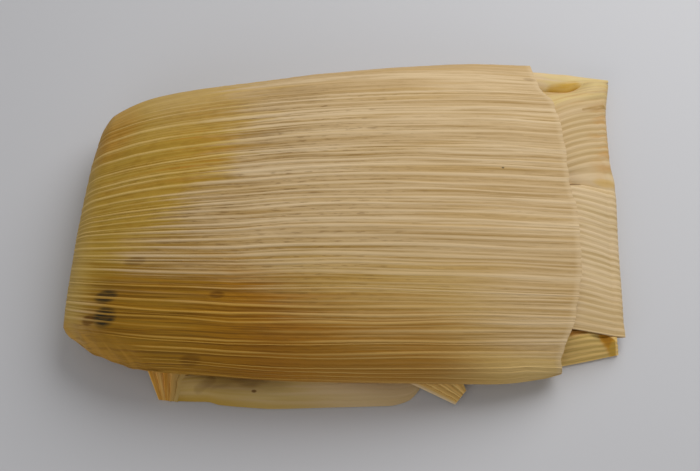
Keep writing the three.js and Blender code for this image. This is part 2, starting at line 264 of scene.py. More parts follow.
# The smooth flap along the front foot.
FLAP_X = (-44.6, 17.2)
FLAP_EDGE_Y = [
    (-44.6, -43.5), (-35.2, -43.6), (-32, -44.4), (-25.6, -45.0), (-19, -45.4), (-6, -45.1),
    (6, -44.8), (9.8, -44.7), (12.3, -44.2), (14.6, -43.3), (16.2, -41.8), (17.2, -40.4),
]
FLAP_ROOT_Y = -37.6
FLAP_BULGE = 2.3
FLAP_TURN = 1.95
FLAP_FALL = 0.8
FLAP_LOW_END = (-0.03, 0.12)
FLAP_WAVE = 0.25
FLAP_WAVE_LENGTH = 5.3
FLAP_WAVE_SLANT = 3.0

# Corners of the tail and the tab: two at the root, then two at the free edge.
TAIL_CORNERS = [(-50.0, -36.0, 3.4), (-40.0, -37.2, 2.2), (-42.6, -43.7, 0.6), (-47.0, -43.2, 0.7)]
TAB_CORNERS = [(14.8, -39.6, 3.0), (27.6, -39.2, 3.0), (28.5, -41.4, 2.4), (25.9, -44.4, 1.0)]

# The mesh and the ribs of each leaf: places along it, rib count, seed, rib height as a share of
# the strongest rib, millimetres that its fibre map spans along and across, and how uneven its
# ribs are.
FOLD_SPANS = (32.0, 66.0)
FOLD_PLACES = np.concatenate([
    np.linspace(-STEPS_INSIDE, 0, 5)[:-1],
    np.linspace(0, STEPS_DOWN, 31)[:-1],
    np.linspace(STEPS_DOWN, STEPS_DOWN + STEPS_ROUND, 21)[:-1],
    np.linspace(STEPS_DOWN + STEPS_ROUND, STEPS_DOWN + STEPS_ROUND + STEPS_BACK, 7),
])
FOLD_LEAF = {
    "along": FOLD_PLACES, "ribs": 42, "seed": 71, "rib_share": 0.32, "spans": FOLD_SPANS,
    "unevenness": 0.3, "smooth_from": SMOOTH_FROM,
}
UNDER_SPANS = (18.0, 14.0)
UNDER_LEAF = {
    "along": np.linspace(0, 1, 61), "ribs": 9, "seed": 81, "rib_share": 0.8, "spans": UNDER_SPANS,
    "unevenness": 0.4,
}
CURL_LEAF = {
    "along": np.linspace(0, 1, 61), "ribs": 8, "seed": 91, "rib_share": 0.35, "spans": (21.0, 13.0),
}
FLAP_LEAF = {
    "along": np.linspace(0, 1, 141), "ribs": 6, "seed": 101, "rib_share": 0.15, "spans": (61.0, 9.0),
}
TAIL_LEAF = {
    "along": np.linspace(0, 1, 25), "ribs": 5, "seed": 111, "rib_share": 1.9, "spans": (8.0, 8.0),
    "unevenness": 0.4,
}
TAB_LEAF = {
    "along": np.linspace(0, 1, 25), "ribs": 4, "seed": 121, "rib_share": 0.8, "spans": (6.0, 12.0),
    "unevenness": 0.4,
}
NEVER_SMOOTH = 2.0
SHORTEST_NORMAL = 1e-9

# Grain of the finishes: length and width in millimetres, detail, and depth in the noise.
BANDS = (60, 2.4, 1, 1.5)
THREADS = (16, 0.5, 2, 13.0)
LONG_STREAKS = (38, 1.3, 3)
BROAD_STREAKS = (55, 2.1, 2, 7.0)
VEINS = (42, 0.8, 2, 21.0)
FIBRES = (9, 0.3, 3, 3.0)
DASHES = (3.0, 0.42, 2, 5.0)
PITS = (1.5, 1.1, 2, 11.0)
BLOTCHES = (14, 9, 2, 2.0)
WARM_PATCHES = (20, 12, 2, 9.0)
MOTTLES = (3.2, 1.6, 3.0, 31.0)
CORNER_LINES = (2.2, 16.0, 2.0, 17.0)
SPOT_BREAKS = (5.0, 0.7, 2, 1.0)
LEAF_STREAKS = (30, 1.6, 3)
LEAF_FIBRES = (8, 0.3, 3, 3.0)
SPECKLES = (1.6, 0.6, 2, 5.0)
FOLD_TINTS = (12, 1.2, 2, 8.0)
YELLOW_STREAKS = (14, 1.6, 2, 4.0)
AMBER_STREAKS = (9, 1.0, 2, 14.0)
TUCK_STREAKS = (10, 0.8, 2, 9.0)
CURL_STREAKS = (16, 1.0, 2, 6.0)
FLAP_STREAKS = (34, 1.8, 2)
FLAP_SHADES = (9, 1.6, 2, 3.0)

# The damp stain's edge: its X behind a line, how it slants in front of that, and how far long
# streaks and blotches draw it out.
DAMP_EDGE_X = -27.0
DAMP_STRAIGHT_Y = 12.0
DAMP_SLANT = 0.95
DAMP_SLANT_WIDTH = 60.0
DAMP_BY_STREAKS = 42.0
DAMP_BY_BLOTCHES = 14.0
# The brown stain's upper edge: its Y in the middle, its slopes to the left and right, how far
# long and broad streaks draw it out, how soft it is, and where it and its olive border end.
BROWN_TOP_Y = -19.3
BROWN_BEND_X = (-27.0, 3.0)
BROWN_BEND_WIDTH = 30.0
BROWN_SLOPES = (0.31, 0.12)
BROWN_BY_LONG = 22.0
BROWN_BY_BROAD = 8.0
BROWN_SOFTNESS = 6.5
SOFTER_TO_RIGHT = 5.0
SOFTER_X = (-20.0, 10.0)
WEAKER_TO_RIGHT = 0.28
WEAKER_X = (-30.0, 6.0)
BROWN_LEFT_END = (-69.0, -57.0)
BROWN_RIGHT_END = (50.0, 14.0)
OLIVE_RIGHT_END = (40.0, -4.0)
OLIVE_BORDER = (-19.0, 1.0)

# Heights of a rib between which a mask grows: a whole ridge, its line, its glow and the furrow.
RIDGE = (0.2, 0.62)
RIDGE_LINE = (0.28, 0.7)
RIB_GLOW = (0.04, 0.4)
FURROW = (0.3, 0.02)
# Where the wrap's colours change: the back side by its millimetres across, then ranges of X, or
# of X and Y, among them the left flank's painted light, the corner by its millimetres below the
# slanting line, and the rim's painted highlight by its millimetres along.
BACK_SIDE = (76.0, 87.0)
TO_RIGHT_X = (0.0, 40.0)
DRY_BACK = ((-58.0, -44.0), (16.0, 26.0))
BRIGHT_FOOT = ((16.0, 36.0), (-33.0, -38.0))
OCHRE_FOOT = ((-26.0, -8.0), (-30.0, -37.0))
LIT_LEFT_FLANK_X = (-61.0, -67.0)
BROWNER_X = (-46.0, -10.0)
CRINKLES_X = (28.0, -8.0)
CORNER_STAIN_X = (-44.0, -56.0)
CORNER_STAIN = (-2.0, 3.0)
MOUTH_RIM_HIGHLIGHT = (WRAP_LENGTH - 2.0, WRAP_LENGTH - 0.4)

# Spots on the top: x, y, width and height, and for the wrap's filling and sauce the strength.
# A spot fades between two squares of the distance from its middle, where its edge is 1.
SPOT_FADE = (1.3, 0.2)
DARK_SPOTS = [
    (-58.2, -23.1, 3.2, 1.7, 0.9), (-58.5, -27.8, 3.2, 2.5, 1.0), (38.2, 11.7, 0.4, 0.3, 0.8),
]
BROWN_SPOTS = [
    (-62.6, -27.9, 2.0, 1.3, 0.9), (-51.3, -15.4, 3.0, 1.3, 0.45), (-31.2, -24.5, 2.0, 0.9, 0.7),
    (-37.8, -38.0, 2.8, 1.0, 0.5), (47.2, 40.4, 1.9, 0.6, 0.3),
]
AMBER_CORNER = (-64, 24, 12, 12)
FOLD_EDGE_TINT = (66, 25, 6, 12)
FOLD_FACET = (66.2, 13.2, 3.6, 1.3)
POCKET_SHADE = (64.0, -28.2, 2.0, 2.2)
POCKET_GLEAM = (65.6, -30.8, 1.4, 1.7)
FLAP_SPECK = (-23.6, -41.5, 0.7, 0.4)
# Lines on the top: both ends, and the distance at which they fade out.
TUCK_LINE = ((61.6, 33.4), (67.4, 35.5), 0.75)
MOUTH_CREASE_SHADE = ((55.4, 10.5), (59.0, 11.5), 0.55)
CURL_VALLEY_SHADE = ((54.4, 39.8), (60.2, 40.8), 2.6)
UNDER_CREVICE_SHADE = ((54.0, -28.3), (57.4, -27.4), 1.6)
FLAP_FOLD_SHADOW = ((-34.0, -38.8), (-37.4, -41.0), 1.4)
# Straight borders in the pocket: a point on each one, and the direction across it.
POCKET_BORDER = ((61.2, -28.6), (0.66, 0.75))
TORN_BORDER = ((64.2, -28.5), (0.46, 0.89))

# Sockets that share their name with others on their node, by their place there.
MIX_UNDER = 6
MIX_OVER = 7
MIX_COLOUR = 2
OBJECT_PLACE = 3
ATTRIBUTE_VALUE = 2

# The stage: the camera looks at the middle of the tamale from above its front.
CAMERA_TARGET = (0.0, -3.3, 10.0)
CAMERA_ELEVATION = 68.0
CAMERA_LENS = 67.53
SENSOR_WIDTH = 36.0
FLOOR_SIZE = 4000.0
FLOOR_ROUGHNESS = 0.6
WHITE = (1, 1, 1, 1)
KEY_FROM = (200.0, 260.0, 330.0)
KEY_SIZE = 450.0
FILL_FROM = (-200.0, -390.0, 220.0)
FILL_SIZE = 400.0


def paint(code):
    """A colour written as 0xRRGGBB, in the linear values that a shader works with, and opaque."""
    shares = [((code >> shift) & 255) / 255 for shift in (16, 8, 0)]
    linear = [c / 12.92 if c <= 0.04045 else ((c + 0.055) / 1.055) ** 2.4 for c in shares]
    return (*linear, 1.0)


def length_property(name, description, default):
    return FloatProperty(name=name, description=description, default=default * MM, unit="LENGTH")


def power_property(name, description, default):
    return FloatProperty(name=name, description=description, default=default, min=0)


def colour_property(name, description, code):
    return FloatVectorProperty(
        name=name, description=description, default=paint(code), subtype="COLOR", size=4, min=0, max=1
    )


class TamaleSizes(bpy.types.PropertyGroup):
    """Sizes of the husk that can be changed without moving a piece."""

    leaf: length_property("Leaf thickness", "Thickness of one husk leaf", 0.5)
    rib: length_property("Rib height", "Height of the strongest husk rib", 0.27)


class TamaleColours(bpy.types.PropertyGroup):
    """Colours of the husks."""

    dry: colour_property("Dry husk", "Ground of the dry husk", 0xC9AB7D)
    # Also a painted highlight on the mouth's rim and painted light on the flap's right part.
    pale: colour_property("Dry rib", "Pale top of a dry rib", 0xDFC59C)
    warm: colour_property("Warm band", "Warmer bands of the dry husk", 0xC39F62)
    furrow: colour_property("Dry furrow", "Shaded line between dry ribs", 0xA38149)
    # Also painted shade: the crease near the mouth, the flap along the wrap's foot, and the shadow line
    # where the flap folds.
    crinkle_and_shade: colour_property("Crinkle", "Dark dashes in the furrows", 0x7C5C32)
    damp: colour_property("Damp husk", "Husk darkened by damp masa", 0xBA953B)
    # Also painted light on the damp husk's left flank.
    damp_rib: colour_property("Damp rib", "Rib over the damp husk", 0xDEBD72)
    amber: colour_property("Amber stain", "Warm streaks in damp furrows", 0xC08630)
    olive: colour_property("Olive stain", "Masa that soaked through", 0x9C7320)
    # Also painted shade in the pocket and in the crevice under the folded end.
    brown: colour_property("Brown stain", "Sauce that soaked through", 0x9B6112)
    ochre: colour_property("Ochre thread", "Lighter threads of the brown stain", 0xAC7410)
    deep_brown: colour_property("Deep brown", "Darkest threads of the brown stain", 0x5E3604)
    brown_rib: colour_property("Browned rib", "Rib over the brown stain", 0xD2A44C)
    corner: colour_property("Front corner", "Smooth orange-brown corner", 0xC4923C)
    spot: colour_property("Dark spot", "Filling that shows through", 0x2E2B1E)
    fold: colour_property("Folded end", "Ground of the folded end", 0xD4BA8B)
    bright: colour_property("Bright rib", "Ribs of the under layer, the tail and the tab", 0xFFD684)
    yellow: colour_property("Yellow husk", "Inner husk at the curl", 0xDDC486)
    # Also painted shade, in a deeper yellow, in the valleys of the folded end and the curl.
    deep_yellow: colour_property("Yellow valley", "Inner husk deep in the folds", 0xD2A845)
    smooth: colour_property("Smooth husk", "Inner husk at the side flap", 0xCCB06E)
    # Inside the pocket it also stands for painted shade and the painted glow of light through the leaf.
    golden: colour_property("Golden husk", "Ground of the tail and inside of the pocket", 0xD89A2C)


class TamaleStage(bpy.types.PropertyGroup):
    """Camera, lights and floor."""

    distance: length_property("Camera distance", "From the camera to the tamale", 330.0)
    key: power_property("Key light", "Watts from the back right", 1.62)
    fill: power_property("Fill light", "Watts from the low front", 0.42)
    sky: power_property("Room light", "Strength of the light from all round", 0.26)
    floor: colour_property("Floor", "Plain pale floor", 0xCDCDD0)


# Shapes ------------------------------------------------------------------------------------------


def smooth_through(knots):
    """A smooth curve through (place, value) knots that never overshoots them."""
    places, values = np.array(knots, float).T
    steps = np.diff(values) / np.diff(places)
    before = np.concatenate([steps[:1], steps])
    after = np.concatenate([steps, steps[-1:]])
    agree = before * after > 0
    slopes = np.where(agree, 2 * before * after / np.where(agree, before + after, 1), 0)

    def value(place):
        x = np.clip(place, places[0], places[-1])
        i = np.clip(np.searchsorted(places, x, side="right") - 1, 0, len(places) - 2)
        width = places[i + 1] - places[i]
        t = (x - places[i]) / width
        rise = t * t * (3 - 2 * t)
        bend = width * t * (1 - t) * ((1 - t) * slopes[i] - t * slopes[i + 1])
        return lerp(values[i], values[i + 1], rise) + bend

    return value


def lerp(a, b, share):
    return a + (b - a) * share


def bell(distance, width):
    return np.exp(-((distance / width) ** 2))


def smooth_step(low, high, value):
    t = np.clip((value - low) / (high - low), 0, 1)
    return t * t * (3 - 2 * t)


def eased(values, steps, place):
    """A smooth change between two values while a place passes through a range."""
    return lerp(*values, smooth_step(*steps, place))


def rounded_power(value, fullness):
    return np.sign(value) * np.abs(value) ** (2 / fullness)


def beyond(x, y, point, direction):
    """How far a place lies past a point in one direction, seen from above."""
    return (x - point[0]) * direction[0] + (y - point[1]) * direction[1]


def soft_noise(u, v, cells, seed):
    """Smooth noise from -1 to 1 over shares u and v, with that many cells each way."""
    grid = np.random.default_rng(seed).uniform(-1, 1, (cells[0] + 2, cells[1] + 2))
    x = np.clip(u, 0, 1) * cells[0]
    y = np.clip(v, 0, 1) * cells[1]
    i = np.floor(x).astype(int)
    j = np.floor(y).astype(int)
    s = smooth_step(0, 1, x - i)
    t = smooth_step(0, 1, y - j)
    near = lerp(grid[i, j], grid[i + 1, j], s)
    far = lerp(grid[i, j + 1], grid[i + 1, j + 1], s)
    return lerp(near, far, t)


left_end_x = smooth_through(LEFT_END_X)
mouth_x = smooth_through(MOUTH_X)
front_y = smooth_through(FRONT_Y)
back_y = smooth_through(BACK_Y)
crown_z = smooth_through(CROWN_Z)
shoulder_z = smooth_through(SHOULDER_Z)
fold_edge_x = smooth_through(FOLD_EDGE_X)
flap_edge_y = smooth_through(FLAP_EDGE_Y)
curl_y = smooth_through([(x, y) for x, y, _, _ in CURL_AXIS])
curl_z = smooth_through([(x, z) for x, _, z, _ in CURL_AXIS])
curl_radius = smooth_through([(x, radius) for x, _, _, radius in CURL_AXIS])


def ribbed_rows(ribs, places, seed, along, unevenness=1.0, softer_back=False):
    """Rows of points that follow a leaf's ribs, as shares of its width at each place along it
    (a share from 0 to 1), and the height of the rib there, from 0 to 1. The rows stand at
    places from 0 at one rib to 1 at the next."""
    rng = np.random.default_rng(seed)
    gaps = 1 + unevenness * rng.uniform(-GAP_SPREAD, GAP_SPREAD, ribs)
    lines = np.concatenate([[0], np.cumsum(gaps)])[:, None] / gaps.sum()
    free = unevenness * np.clip(np.minimum(lines, 1 - lines) * ribs, 0, 1)
    waves = rng.uniform(*OWN_WAVES, (2, ribs + 1, 1))
    phases = rng.uniform(0, 2 * math.pi, (2, ribs + 1, 1))
    own = np.sin(2 * math.pi * waves * along + phases).sum(0)
    shared = soft_noise(along + 0 * lines, lines + 0 * along, SHARED_CELLS, seed + 1)
    lines = lines + free * (OWN_WANDER * own / 2 + SHARED_WANDER * shared) / ribs

    strength = 1 - unevenness * rng.uniform(0, 1 - WEAKEST_RIB, (ribs + 1, 1))
    strength[::2] = np.maximum(strength[::2], STRONG_RIB)
    softer = softer_back * smooth_step(*FAINT_RIBS, lines) * smooth_step(*CRISP_FROM[::-1], along)
    strength = strength + 0 * along
    strength[1::2] = strength[1::2] * lerp(1, FAINT_RIB, softer)[1::2]
    swell = soft_noise(along + 0 * lines, lines, (SWELLS_ALONG, ribs), seed + 2)
    strength = np.clip(strength * (1 + RIB_SWELL * unevenness * swell), FLATTEST_RIB, 1)
    sharpness = rng.uniform(*RIB_SHARPNESS, (ribs + 1, 1)) * lerp(1, BROAD_RIB, softer)

    in_front = np.arange(ribs)[:, None] < FRONT_RIBS * ribs
    finest = rng.uniform(0, 1, (ribs, 1))
    between = unevenness * np.where(in_front, lerp(*FRONT_FINE_RIB, finest), lerp(*FINE_RIB, finest))
    middles = rng.choice(FINE_RIB_PLACES, ribs)

    shares = []
    heights = []
    for rib in range(ribs):
        for t in places:
            nearest = rib + round(t)
            lift = ((1 + math.cos(2 * math.pi * t)) / 2) ** sharpness[nearest]
            shares.append(lerp(lines[rib], lines[rib + 1], t))
            fine = between[rib] * bell(t - middles[rib], FINE_RIB_WIDTH)
            heights.append(np.maximum(lift * strength[nearest], fine))
    shares.append(lines[ribs])
    heights.append(strength[ribs])
    return np.array(shares), np.array(heights)


def surface_normals(points, closed=False):
    """Unit normals of a grid of points, with its rows across and its columns along the leaf."""
    along = np.gradient(points, axis=1)
    if closed:
        across = np.roll(points[:-1], -1, 0) - np.roll(points[:-1], 1, 0)
        across = np.concatenate([across, across[:1]])
    else:
        across = np.gradient(points, axis=0)
    normals = np.cross(along, across)
    return normals / np.maximum(np.linalg.norm(normals, axis=2, keepdims=True), SHORTEST_NORMAL)


def wrap_stations():
    """Places along the wrap, close together where its closed end rounds over."""
    angles = lerp(FIRST_END_ANGLE, math.pi / 2, np.arange(END_STATIONS) / END_STATIONS)
    closing = END_ROUNDING * (1 - np.cos(angles))
    return np.concatenate([closing, np.linspace(END_ROUNDING, 1, LONG_STATIONS + 1)])


def wrap_outline(station):
    """The wrap's outline at one station: places across it from front to back, and the heights
    of its top and of its underside there."""
    front = front_y(station)
    back = back_y(station)
    shoulder = shoulder_z(station)
    angle = np.linspace(0, math.pi, OUTLINE_SAMPLES + 1)
    closing = min(station / END_ROUNDING, 1)
    rise = (1 - (1 - closing) ** END_FULLNESS) ** (1 / END_FULLNESS)
    lift = rounded_power(np.sin(angle), OVER_FULLNESS)
    drop = np.minimum(FLAT_UNDERSIDE * rounded_power(np.sin(angle), UNDER_FULLNESS), 1)
    across = (front + back) / 2 - (back - front) / 2 * rounded_power(np.cos(angle), OVER_FULLNESS)
    over_z = shoulder + (crown_z(station) - shoulder) * rise * lift
    return across, over_z, shoulder - shoulder * rise * drop


def shares_travelled(y, z):
    """The share of an outline's length that lies before each of its points."""
    travelled = np.concatenate([[0], np.cumsum(np.hypot(np.diff(y), np.diff(z)))])
    return travelled / travelled[-1]


def rib_drift(reach, share):
    """How far back a rib has drifted at some millimetres to the right of COURSE_STATION."""
    bend = eased(RIGHT_BEND, RIGHT_BEND_SHARES, share)
    right = eased(RIGHT_RISE, RIGHT_RISE_SHARES, share) * reach - bend * reach ** 2 / 2
    left = eased(LEFT_RISE, LEFT_RISE_SHARES, share)
    left = left + LEFT_EDGE_RISE * smooth_step(*LEFT_EDGE_SHARES, share)
    sag = smooth_step(*SAG_REACH, reach) - smooth_step(*SAG_REACH, 0)
    sag = SAG_DEPTH * sag * smooth_step(*SAG_SHARES, share)
    return np.where(reach > 0, right, left * reach) - sag


def guided_shares(station):
    """Evenly spread guide ribs, and where they lie on the outline over the top at one station."""
    guides = np.linspace(0, 1, RIB_GUIDES)
    across, over_z, _ = wrap_outline(station)
    travelled = shares_travelled(across, over_z)
    start_y, start_z, _ = wrap_outline(COURSE_STATION)
    start_travelled = shares_travelled(start_y, start_z)
    reach = (station - COURSE_STATION) * WRAP_LENGTH
    lean = RIB_LEAN * np.where(reach > 0, 1, smooth_step(*LEAN_SHARES, guides))
    guide_y = np.interp(guides, start_travelled, start_y)
    guide_z = np.interp(guides, start_travelled, start_z)
    target = guide_y + lean * guide_z + rib_drift(reach, guides)
    places = [
        np.interp(aim, np.maximum.accumulate(across + share * over_z), travelled)
        for aim, share in zip(target, lean)
    ]
    places = lerp(guides, np.maximum.accumulate(places), COURSE_HOLD)
    places = places - places[0] * smooth_step(EDGE_SHARE, 0, guides)
    to_back = (guides - BACK_GUIDE) / (1 - BACK_GUIDE)
    behind = lerp(np.interp(BACK_GUIDE, guides, places), 1, to_back)
    return guides, np.where(to_back > 0, behind, places)


def wrap_ring(station, over, under):
    """Points round the wrap at one station: shares over the top from front to back, then shares
    underneath from back to front."""
    across, over_z, under_z = wrap_outline(station)
    over = np.interp(over, *guided_shares(station))
    sides = ((over, over_z), (under, under_z))
    y = np.concatenate([np.interp(share, shares_travelled(across, z), across) for share, z in sides])
    z = np.concatenate([np.interp(share, shares_travelled(across, z), z) for share, z in sides])
    x = lerp(left_end_x(y), mouth_x(y), station)
    return np.stack([x, y, z], 1)


def wrap_surface(rib_height):
    """Points of the whole wrap, how far across and how high on a rib each one lies, and how far
    along each station lies."""
    stations = wrap_stations()
    over, over_rib = ribbed_rows(WRAP_RIBS, OVER_PLACES, WRAP_SEED, stations, softer_back=True)
    under, under_rib = ribbed_rows(WRAP_RIBS, UNDER_PLACES, WRAP_SEED, stations, softer_back=True)
    under = under[::-1][1:]
    under_rib = under_rib[::-1][1:]
    rings = [wrap_ring(s, over[:, i], under[:, i]) for i, s in enumerate(stations)]
    points = np.stack(rings, 1)
    share = np.concatenate([over, under])
    rib = np.concatenate([over_rib, under_rib])
    below = np.concatenate([np.zeros(len(over)), np.ones(len(under))])[:, None]
    below = below * smooth_step(0, UNDERSIDE_EDGE, np.minimum(share, 1 - share))

    x, y, _ = np.moveaxis(points, 2, 0)
    along = stations[None, :] + 0 * share
    gaps = np.linalg.norm(np.diff(points, axis=0), axis=2)
    course = np.searchsorted(stations, COURSE_STATION)
    narrowed = gaps / gaps[:, course:course + 1]
    narrowed = np.minimum(
        np.concatenate([narrowed[:1], narrowed]), np.concatenate([narrowed, narrowed[-1:]])
    )
    corner = smooth_step(*CORNER_X, x) * (1 - below)
    corner = corner * smooth_step(*CORNER_FROM, beyond(x, y, CORNER_POINT, BELOW_CORNER))
    rib = rib ** eased((1, DAMP_SHARPNESS), SHARPER_X, x)
    crinkle = soft_noise(along, share, *CRINKLES) * (1 - rib)
    crinkled = lerp(LEAST_CRINKLED, 1, bell(x - CRINKLED_X, CRINKLED_WIDTH))
    rib = rib * smooth_step(*SQUEEZED, narrowed) * (1 - CORNER_RIB_LOSS * corner)
    rib = rib * eased((1, BACK_RIB), BACK_RIBS, share)

    creases = CREASE_RATE * beyond(x, y, (0, 0), CREASE_ACROSS)
    creases = np.sin(creases + CREASE_BEND * soft_noise(along, share, *CREASE_BENDS))
    uneven = CRINKLE_HEIGHT * crinkle * crinkled + LUMP_HEIGHT * soft_noise(along, share, *LUMPS)
    relief = rib_height * eased((DRY_RIB, 1), SHARPER_X, x) * (rib - below)
    relief = relief + uneven * (1 - below) + CREASE_HEIGHT * creases * corner
    relief = relief * smooth_step(*RELIEF_FROM, stations)
    points = points + surface_normals(points, closed=True) * relief[:, :, None]
    points[:, :, 0] += RAGGED * soft_noise(along, share, *RAGGED_NOISE) * stations ** RAGGED_FADE
    return points, share * WRAP_WIDTH, rib, stations * WRAP_LENGTH


def lip_z(y):
    """Height of the inner side of the solid mouth's lip."""
    front = front_y(1) + SOLID_LEAF
    back = back_y(1) - SOLID_LEAF
    across = np.minimum(np.abs((2 * y - front - back) / (back - front)), 1)
    lift = (1 - across ** OVER_FULLNESS) ** (1 / OVER_FULLNESS)
    return shoulder_z(1) + (crown_z(1) - SOLID_LEAF - shoulder_z(1)) * lift


def folded_end(progress, v):
    """The folded end at some steps of travel, and a share across it from front to back."""
    inside = np.minimum(progress, 0)
    down = np.clip(progress / STEPS_DOWN, 0, 1)
    turned = math.pi * np.clip((progress - STEPS_DOWN) / STEPS_ROUND, 0, 1)
    under = np.maximum(progress - STEPS_DOWN - STEPS_ROUND, 0) / STEPS_BACK
    y = lerp(FOLD_FRONT_Y, FOLD_BACK_Y, v)
    from_crease = y - CREASE_Y
    in_back = from_crease > 0
    crease_shape = bell(from_crease, np.where(in_back, CREASE_BACK_WIDTH, CREASE_FRONT_WIDTH))
    back_spread = eased(
        (BACK_HALF_SPREAD, BACK_EDGE_SPREAD), (FOLD_BACK_Y - BACK_EDGE_WIDTH, FOLD_BACK_Y), y
    )
    front_spread = FRONT_HALF_SPREAD * (1 - bell(from_crease, FRONT_SPREAD_WIDTH))
    spread = np.where(in_back, back_spread * (1 - crease_shape), front_spread)
    sink = np.where(in_back, BACK_HALF_SINK * bell(from_crease, BACK_SINK_WIDTH), 0)

    start_x = mouth_x(y) - SOLID_RECESS + NEIGHBOUR_GAP
    start_z = lip_z(y) - SOLID_LEAF / 2 - NEIGHBOUR_GAP - SOLID_RIB - sink
    edge_x = fold_edge_x(y + spread * (fold_edge_x(y) - start_x)) - FOLD_RADIUS
    x = lerp(start_x, edge_x, down)
    wave = FOLD_WAVE * np.sin(2 * math.pi * FOLD_WAVES * v) * down
    crease = CREASE_DEPTH * crease_shape * (1 - CREASE_FADE * down)
    valley = VALLEY_DEPTH * smooth_step(SMOOTH_FROM, 1, v) * smooth_step(*VALLEY_DOWN, down)
    tuck = TUCK_DEPTH * bell(v - SMOOTH_FROM, TUCK_WIDTH) * smooth_step(*TUCK_DOWN, down)
    over_z = lerp(start_z, FOLD_TOP_Z, down ** FOLD_HOLLOW) + wave - crease - valley - tuck
    low_z = lerp(SOLID_LEAF / 2, over_z - PINCHED_GAP, bell(v, PINCH_WIDTH))
    round_fold = FOLD_RADIUS * np.sin(turned)
    spread_reach = (x - start_x) * (1 + SPREAD_BEND * (1 - down)) + round_fold * (1 - SPREAD_BEND)
    return np.stack([
        x + round_fold - FOLD_RETURN * under + INSIDE_STEP * inside,
        y + spread * spread_reach,
        lerp(low_z, over_z, (1 + np.cos(turned)) / 2) - INSIDE_RISE * inside,
    ], 2)


def under_layer(u, v):
    """The layer under the folded end: u runs right from the mouth, v up from the table. Its
    right end turns up into a pocket."""
    reach = v * (UNDER_LAYER_TUCK + UNDER_LAYER_FAN * u)
    shown = np.minimum(reach, 1)
    y = lerp(lerp(*UNDER_LAYER_FRONT_Y, u), UNDER_LAYER_BACK_Y, reach)
    left_x = mouth_x(y) + NEIGHBOUR_GAP + SOLID_LEAF / 2 - UNDER_LAYER_HIDDEN
    right_x = UNDER_LAYER_RIGHT_X - UNDER_LAYER_LEAN * shown
    top_z = lerp(*UNDER_LAYER_TOP_Z, u ** UNDER_LAYER_HOLLOW)
    rim = POCKET_RISE * smooth_step(POCKET_FROM, 1, u) * np.sin(math.pi / 2 * shown)
    sag = POCKET_SAG * bell(u - POCKET_FROM, POCKET_SAG_WIDTH) * shown
    z = lerp(top_z, SOLID_LEAF / 2, (1 - shown) ** UNDER_LAYER_BULGE) + rim - sag
    return np.stack([lerp(left_x, right_x, u), y, z], 2)


def rolled_corner(u, v):
    """The rolled corner: u runs right along its axis, v round it."""
    x = lerp(CURL_AXIS[0][0], CURL_AXIS[-1][0], u)
    angle = lerp(*CURL_ANGLES, v)
    radius = curl_radius(x) - SOLID_LEAF / 2
    rise = CURL_FLATNESS * radius * np.sin(angle)
    return np.stack([x + 0 * v, curl_y(x) + radius * np.cos(angle), curl_z(x) + rise], 2)


def side_flap(u, v):
    """The side flap: u runs right along the foot, v from its free edge to the wrap."""
    x = lerp(*FLAP_X, u)
    y = lerp(flap_edge_y(x), FLAP_ROOT_Y, v)
    ends = (1 - FLAP_FALL * u ** 3) * smooth_step(*FLAP_LOW_END, u)
    bulge = FLAP_BULGE * np.sin(FLAP_TURN * v) * ends
    wave = FLAP_WAVE * np.sin(x / FLAP_WAVE_LENGTH + FLAP_WAVE_SLANT * v) * v
    return np.stack([x + 0 * v, y, SOLID_LEAF / 2 + bulge + wave], 2)


def between_corners(corners):
    """A surface spanned between four corners. Its u runs from the tip up to the root."""
    root_a, root_b, tip_b, tip_a = (np.array(corner, float) for corner in corners)

    def surface(u, v):
        root = lerp(root_a, root_b, v[..., None])
        tip = lerp(tip_a, tip_b, v[..., None])
        return lerp(tip, root, u[..., None])

    return surface


# Meshes ------------------------------------------------------------------------------------------


def select_only(piece):
    bpy.ops.object.select_all(action="DESELECT")
    piece.select_set(True)
    bpy.context.view_layer.objects.active = piece


def shaped_grid(name, points, across, rib, along):
    """A grid primitive laid over points, in rows across and columns along the leaf. Its UV map
    holds millimetres along and across the fibres, and its attribute the rib heights."""
    rows, columns, _ = points.shape
    bpy.ops.object.select_all(action="DESELECT")
    bpy.ops.mesh.primitive_grid_add(x_subdivisions=columns - 1, y_subdivisions=rows - 1, size=1)
    piece = bpy.context.active_object
    piece.name = name
    mesh = piece.data
    mesh.name = name
    mesh.vertices.foreach_set("co", (points * MM).astype(np.float32).ravel())
    height = mesh.attributes.new(RIB_ATTRIBUTE, "FLOAT", "POINT")
    height.data.foreach_set("value", rib.astype(np.float32).ravel())
    layer = mesh.uv_layers[0]
    layer.name = FIBRE_MAP
    corners = np.zeros(len(mesh.loops) * 2, np.float32)
    layer.uv.foreach_get("vector", corners)
    column = np.rint(corners[0::2] * (columns - 1)).astype(int)
    row = np.rint(corners[1::2] * (rows - 1)).astype(int)
    placed = np.stack([along[column], across[row, column]], 1)
    layer.uv.foreach_set("vector", placed.astype(np.float32).ravel())
    return piece


def select_open_edges(piece, right_of_middle):
    """Selects the open edges at one end of a piece in edit mode."""
    mesh = bmesh.from_edit_mesh(piece.data)
    bpy.ops.mesh.select_all(action="DESELECT")
    for edge in mesh.edges:
        if edge.is_boundary and (edge.verts[0].co.x > 0) == right_of_middle:
            edge.select_set(True)
    bmesh.update_edit_mesh(piece.data)


def start_editing(piece):
    select_only(piece)
    bpy.ops.object.mode_set(mode="EDIT")
    bpy.ops.mesh.select_mode(type="EDGE")
    bpy.ops.mesh.select_all(action="SELECT")


def turn_faces_out():
    """Turns all faces of the piece in edit mode outwards, and leaves edit mode."""
    bpy.ops.mesh.select_all(action="SELECT")
    bpy.ops.mesh.normals_make_consistent(inside=False)
    bpy.ops.object.mode_set(mode="OBJECT")


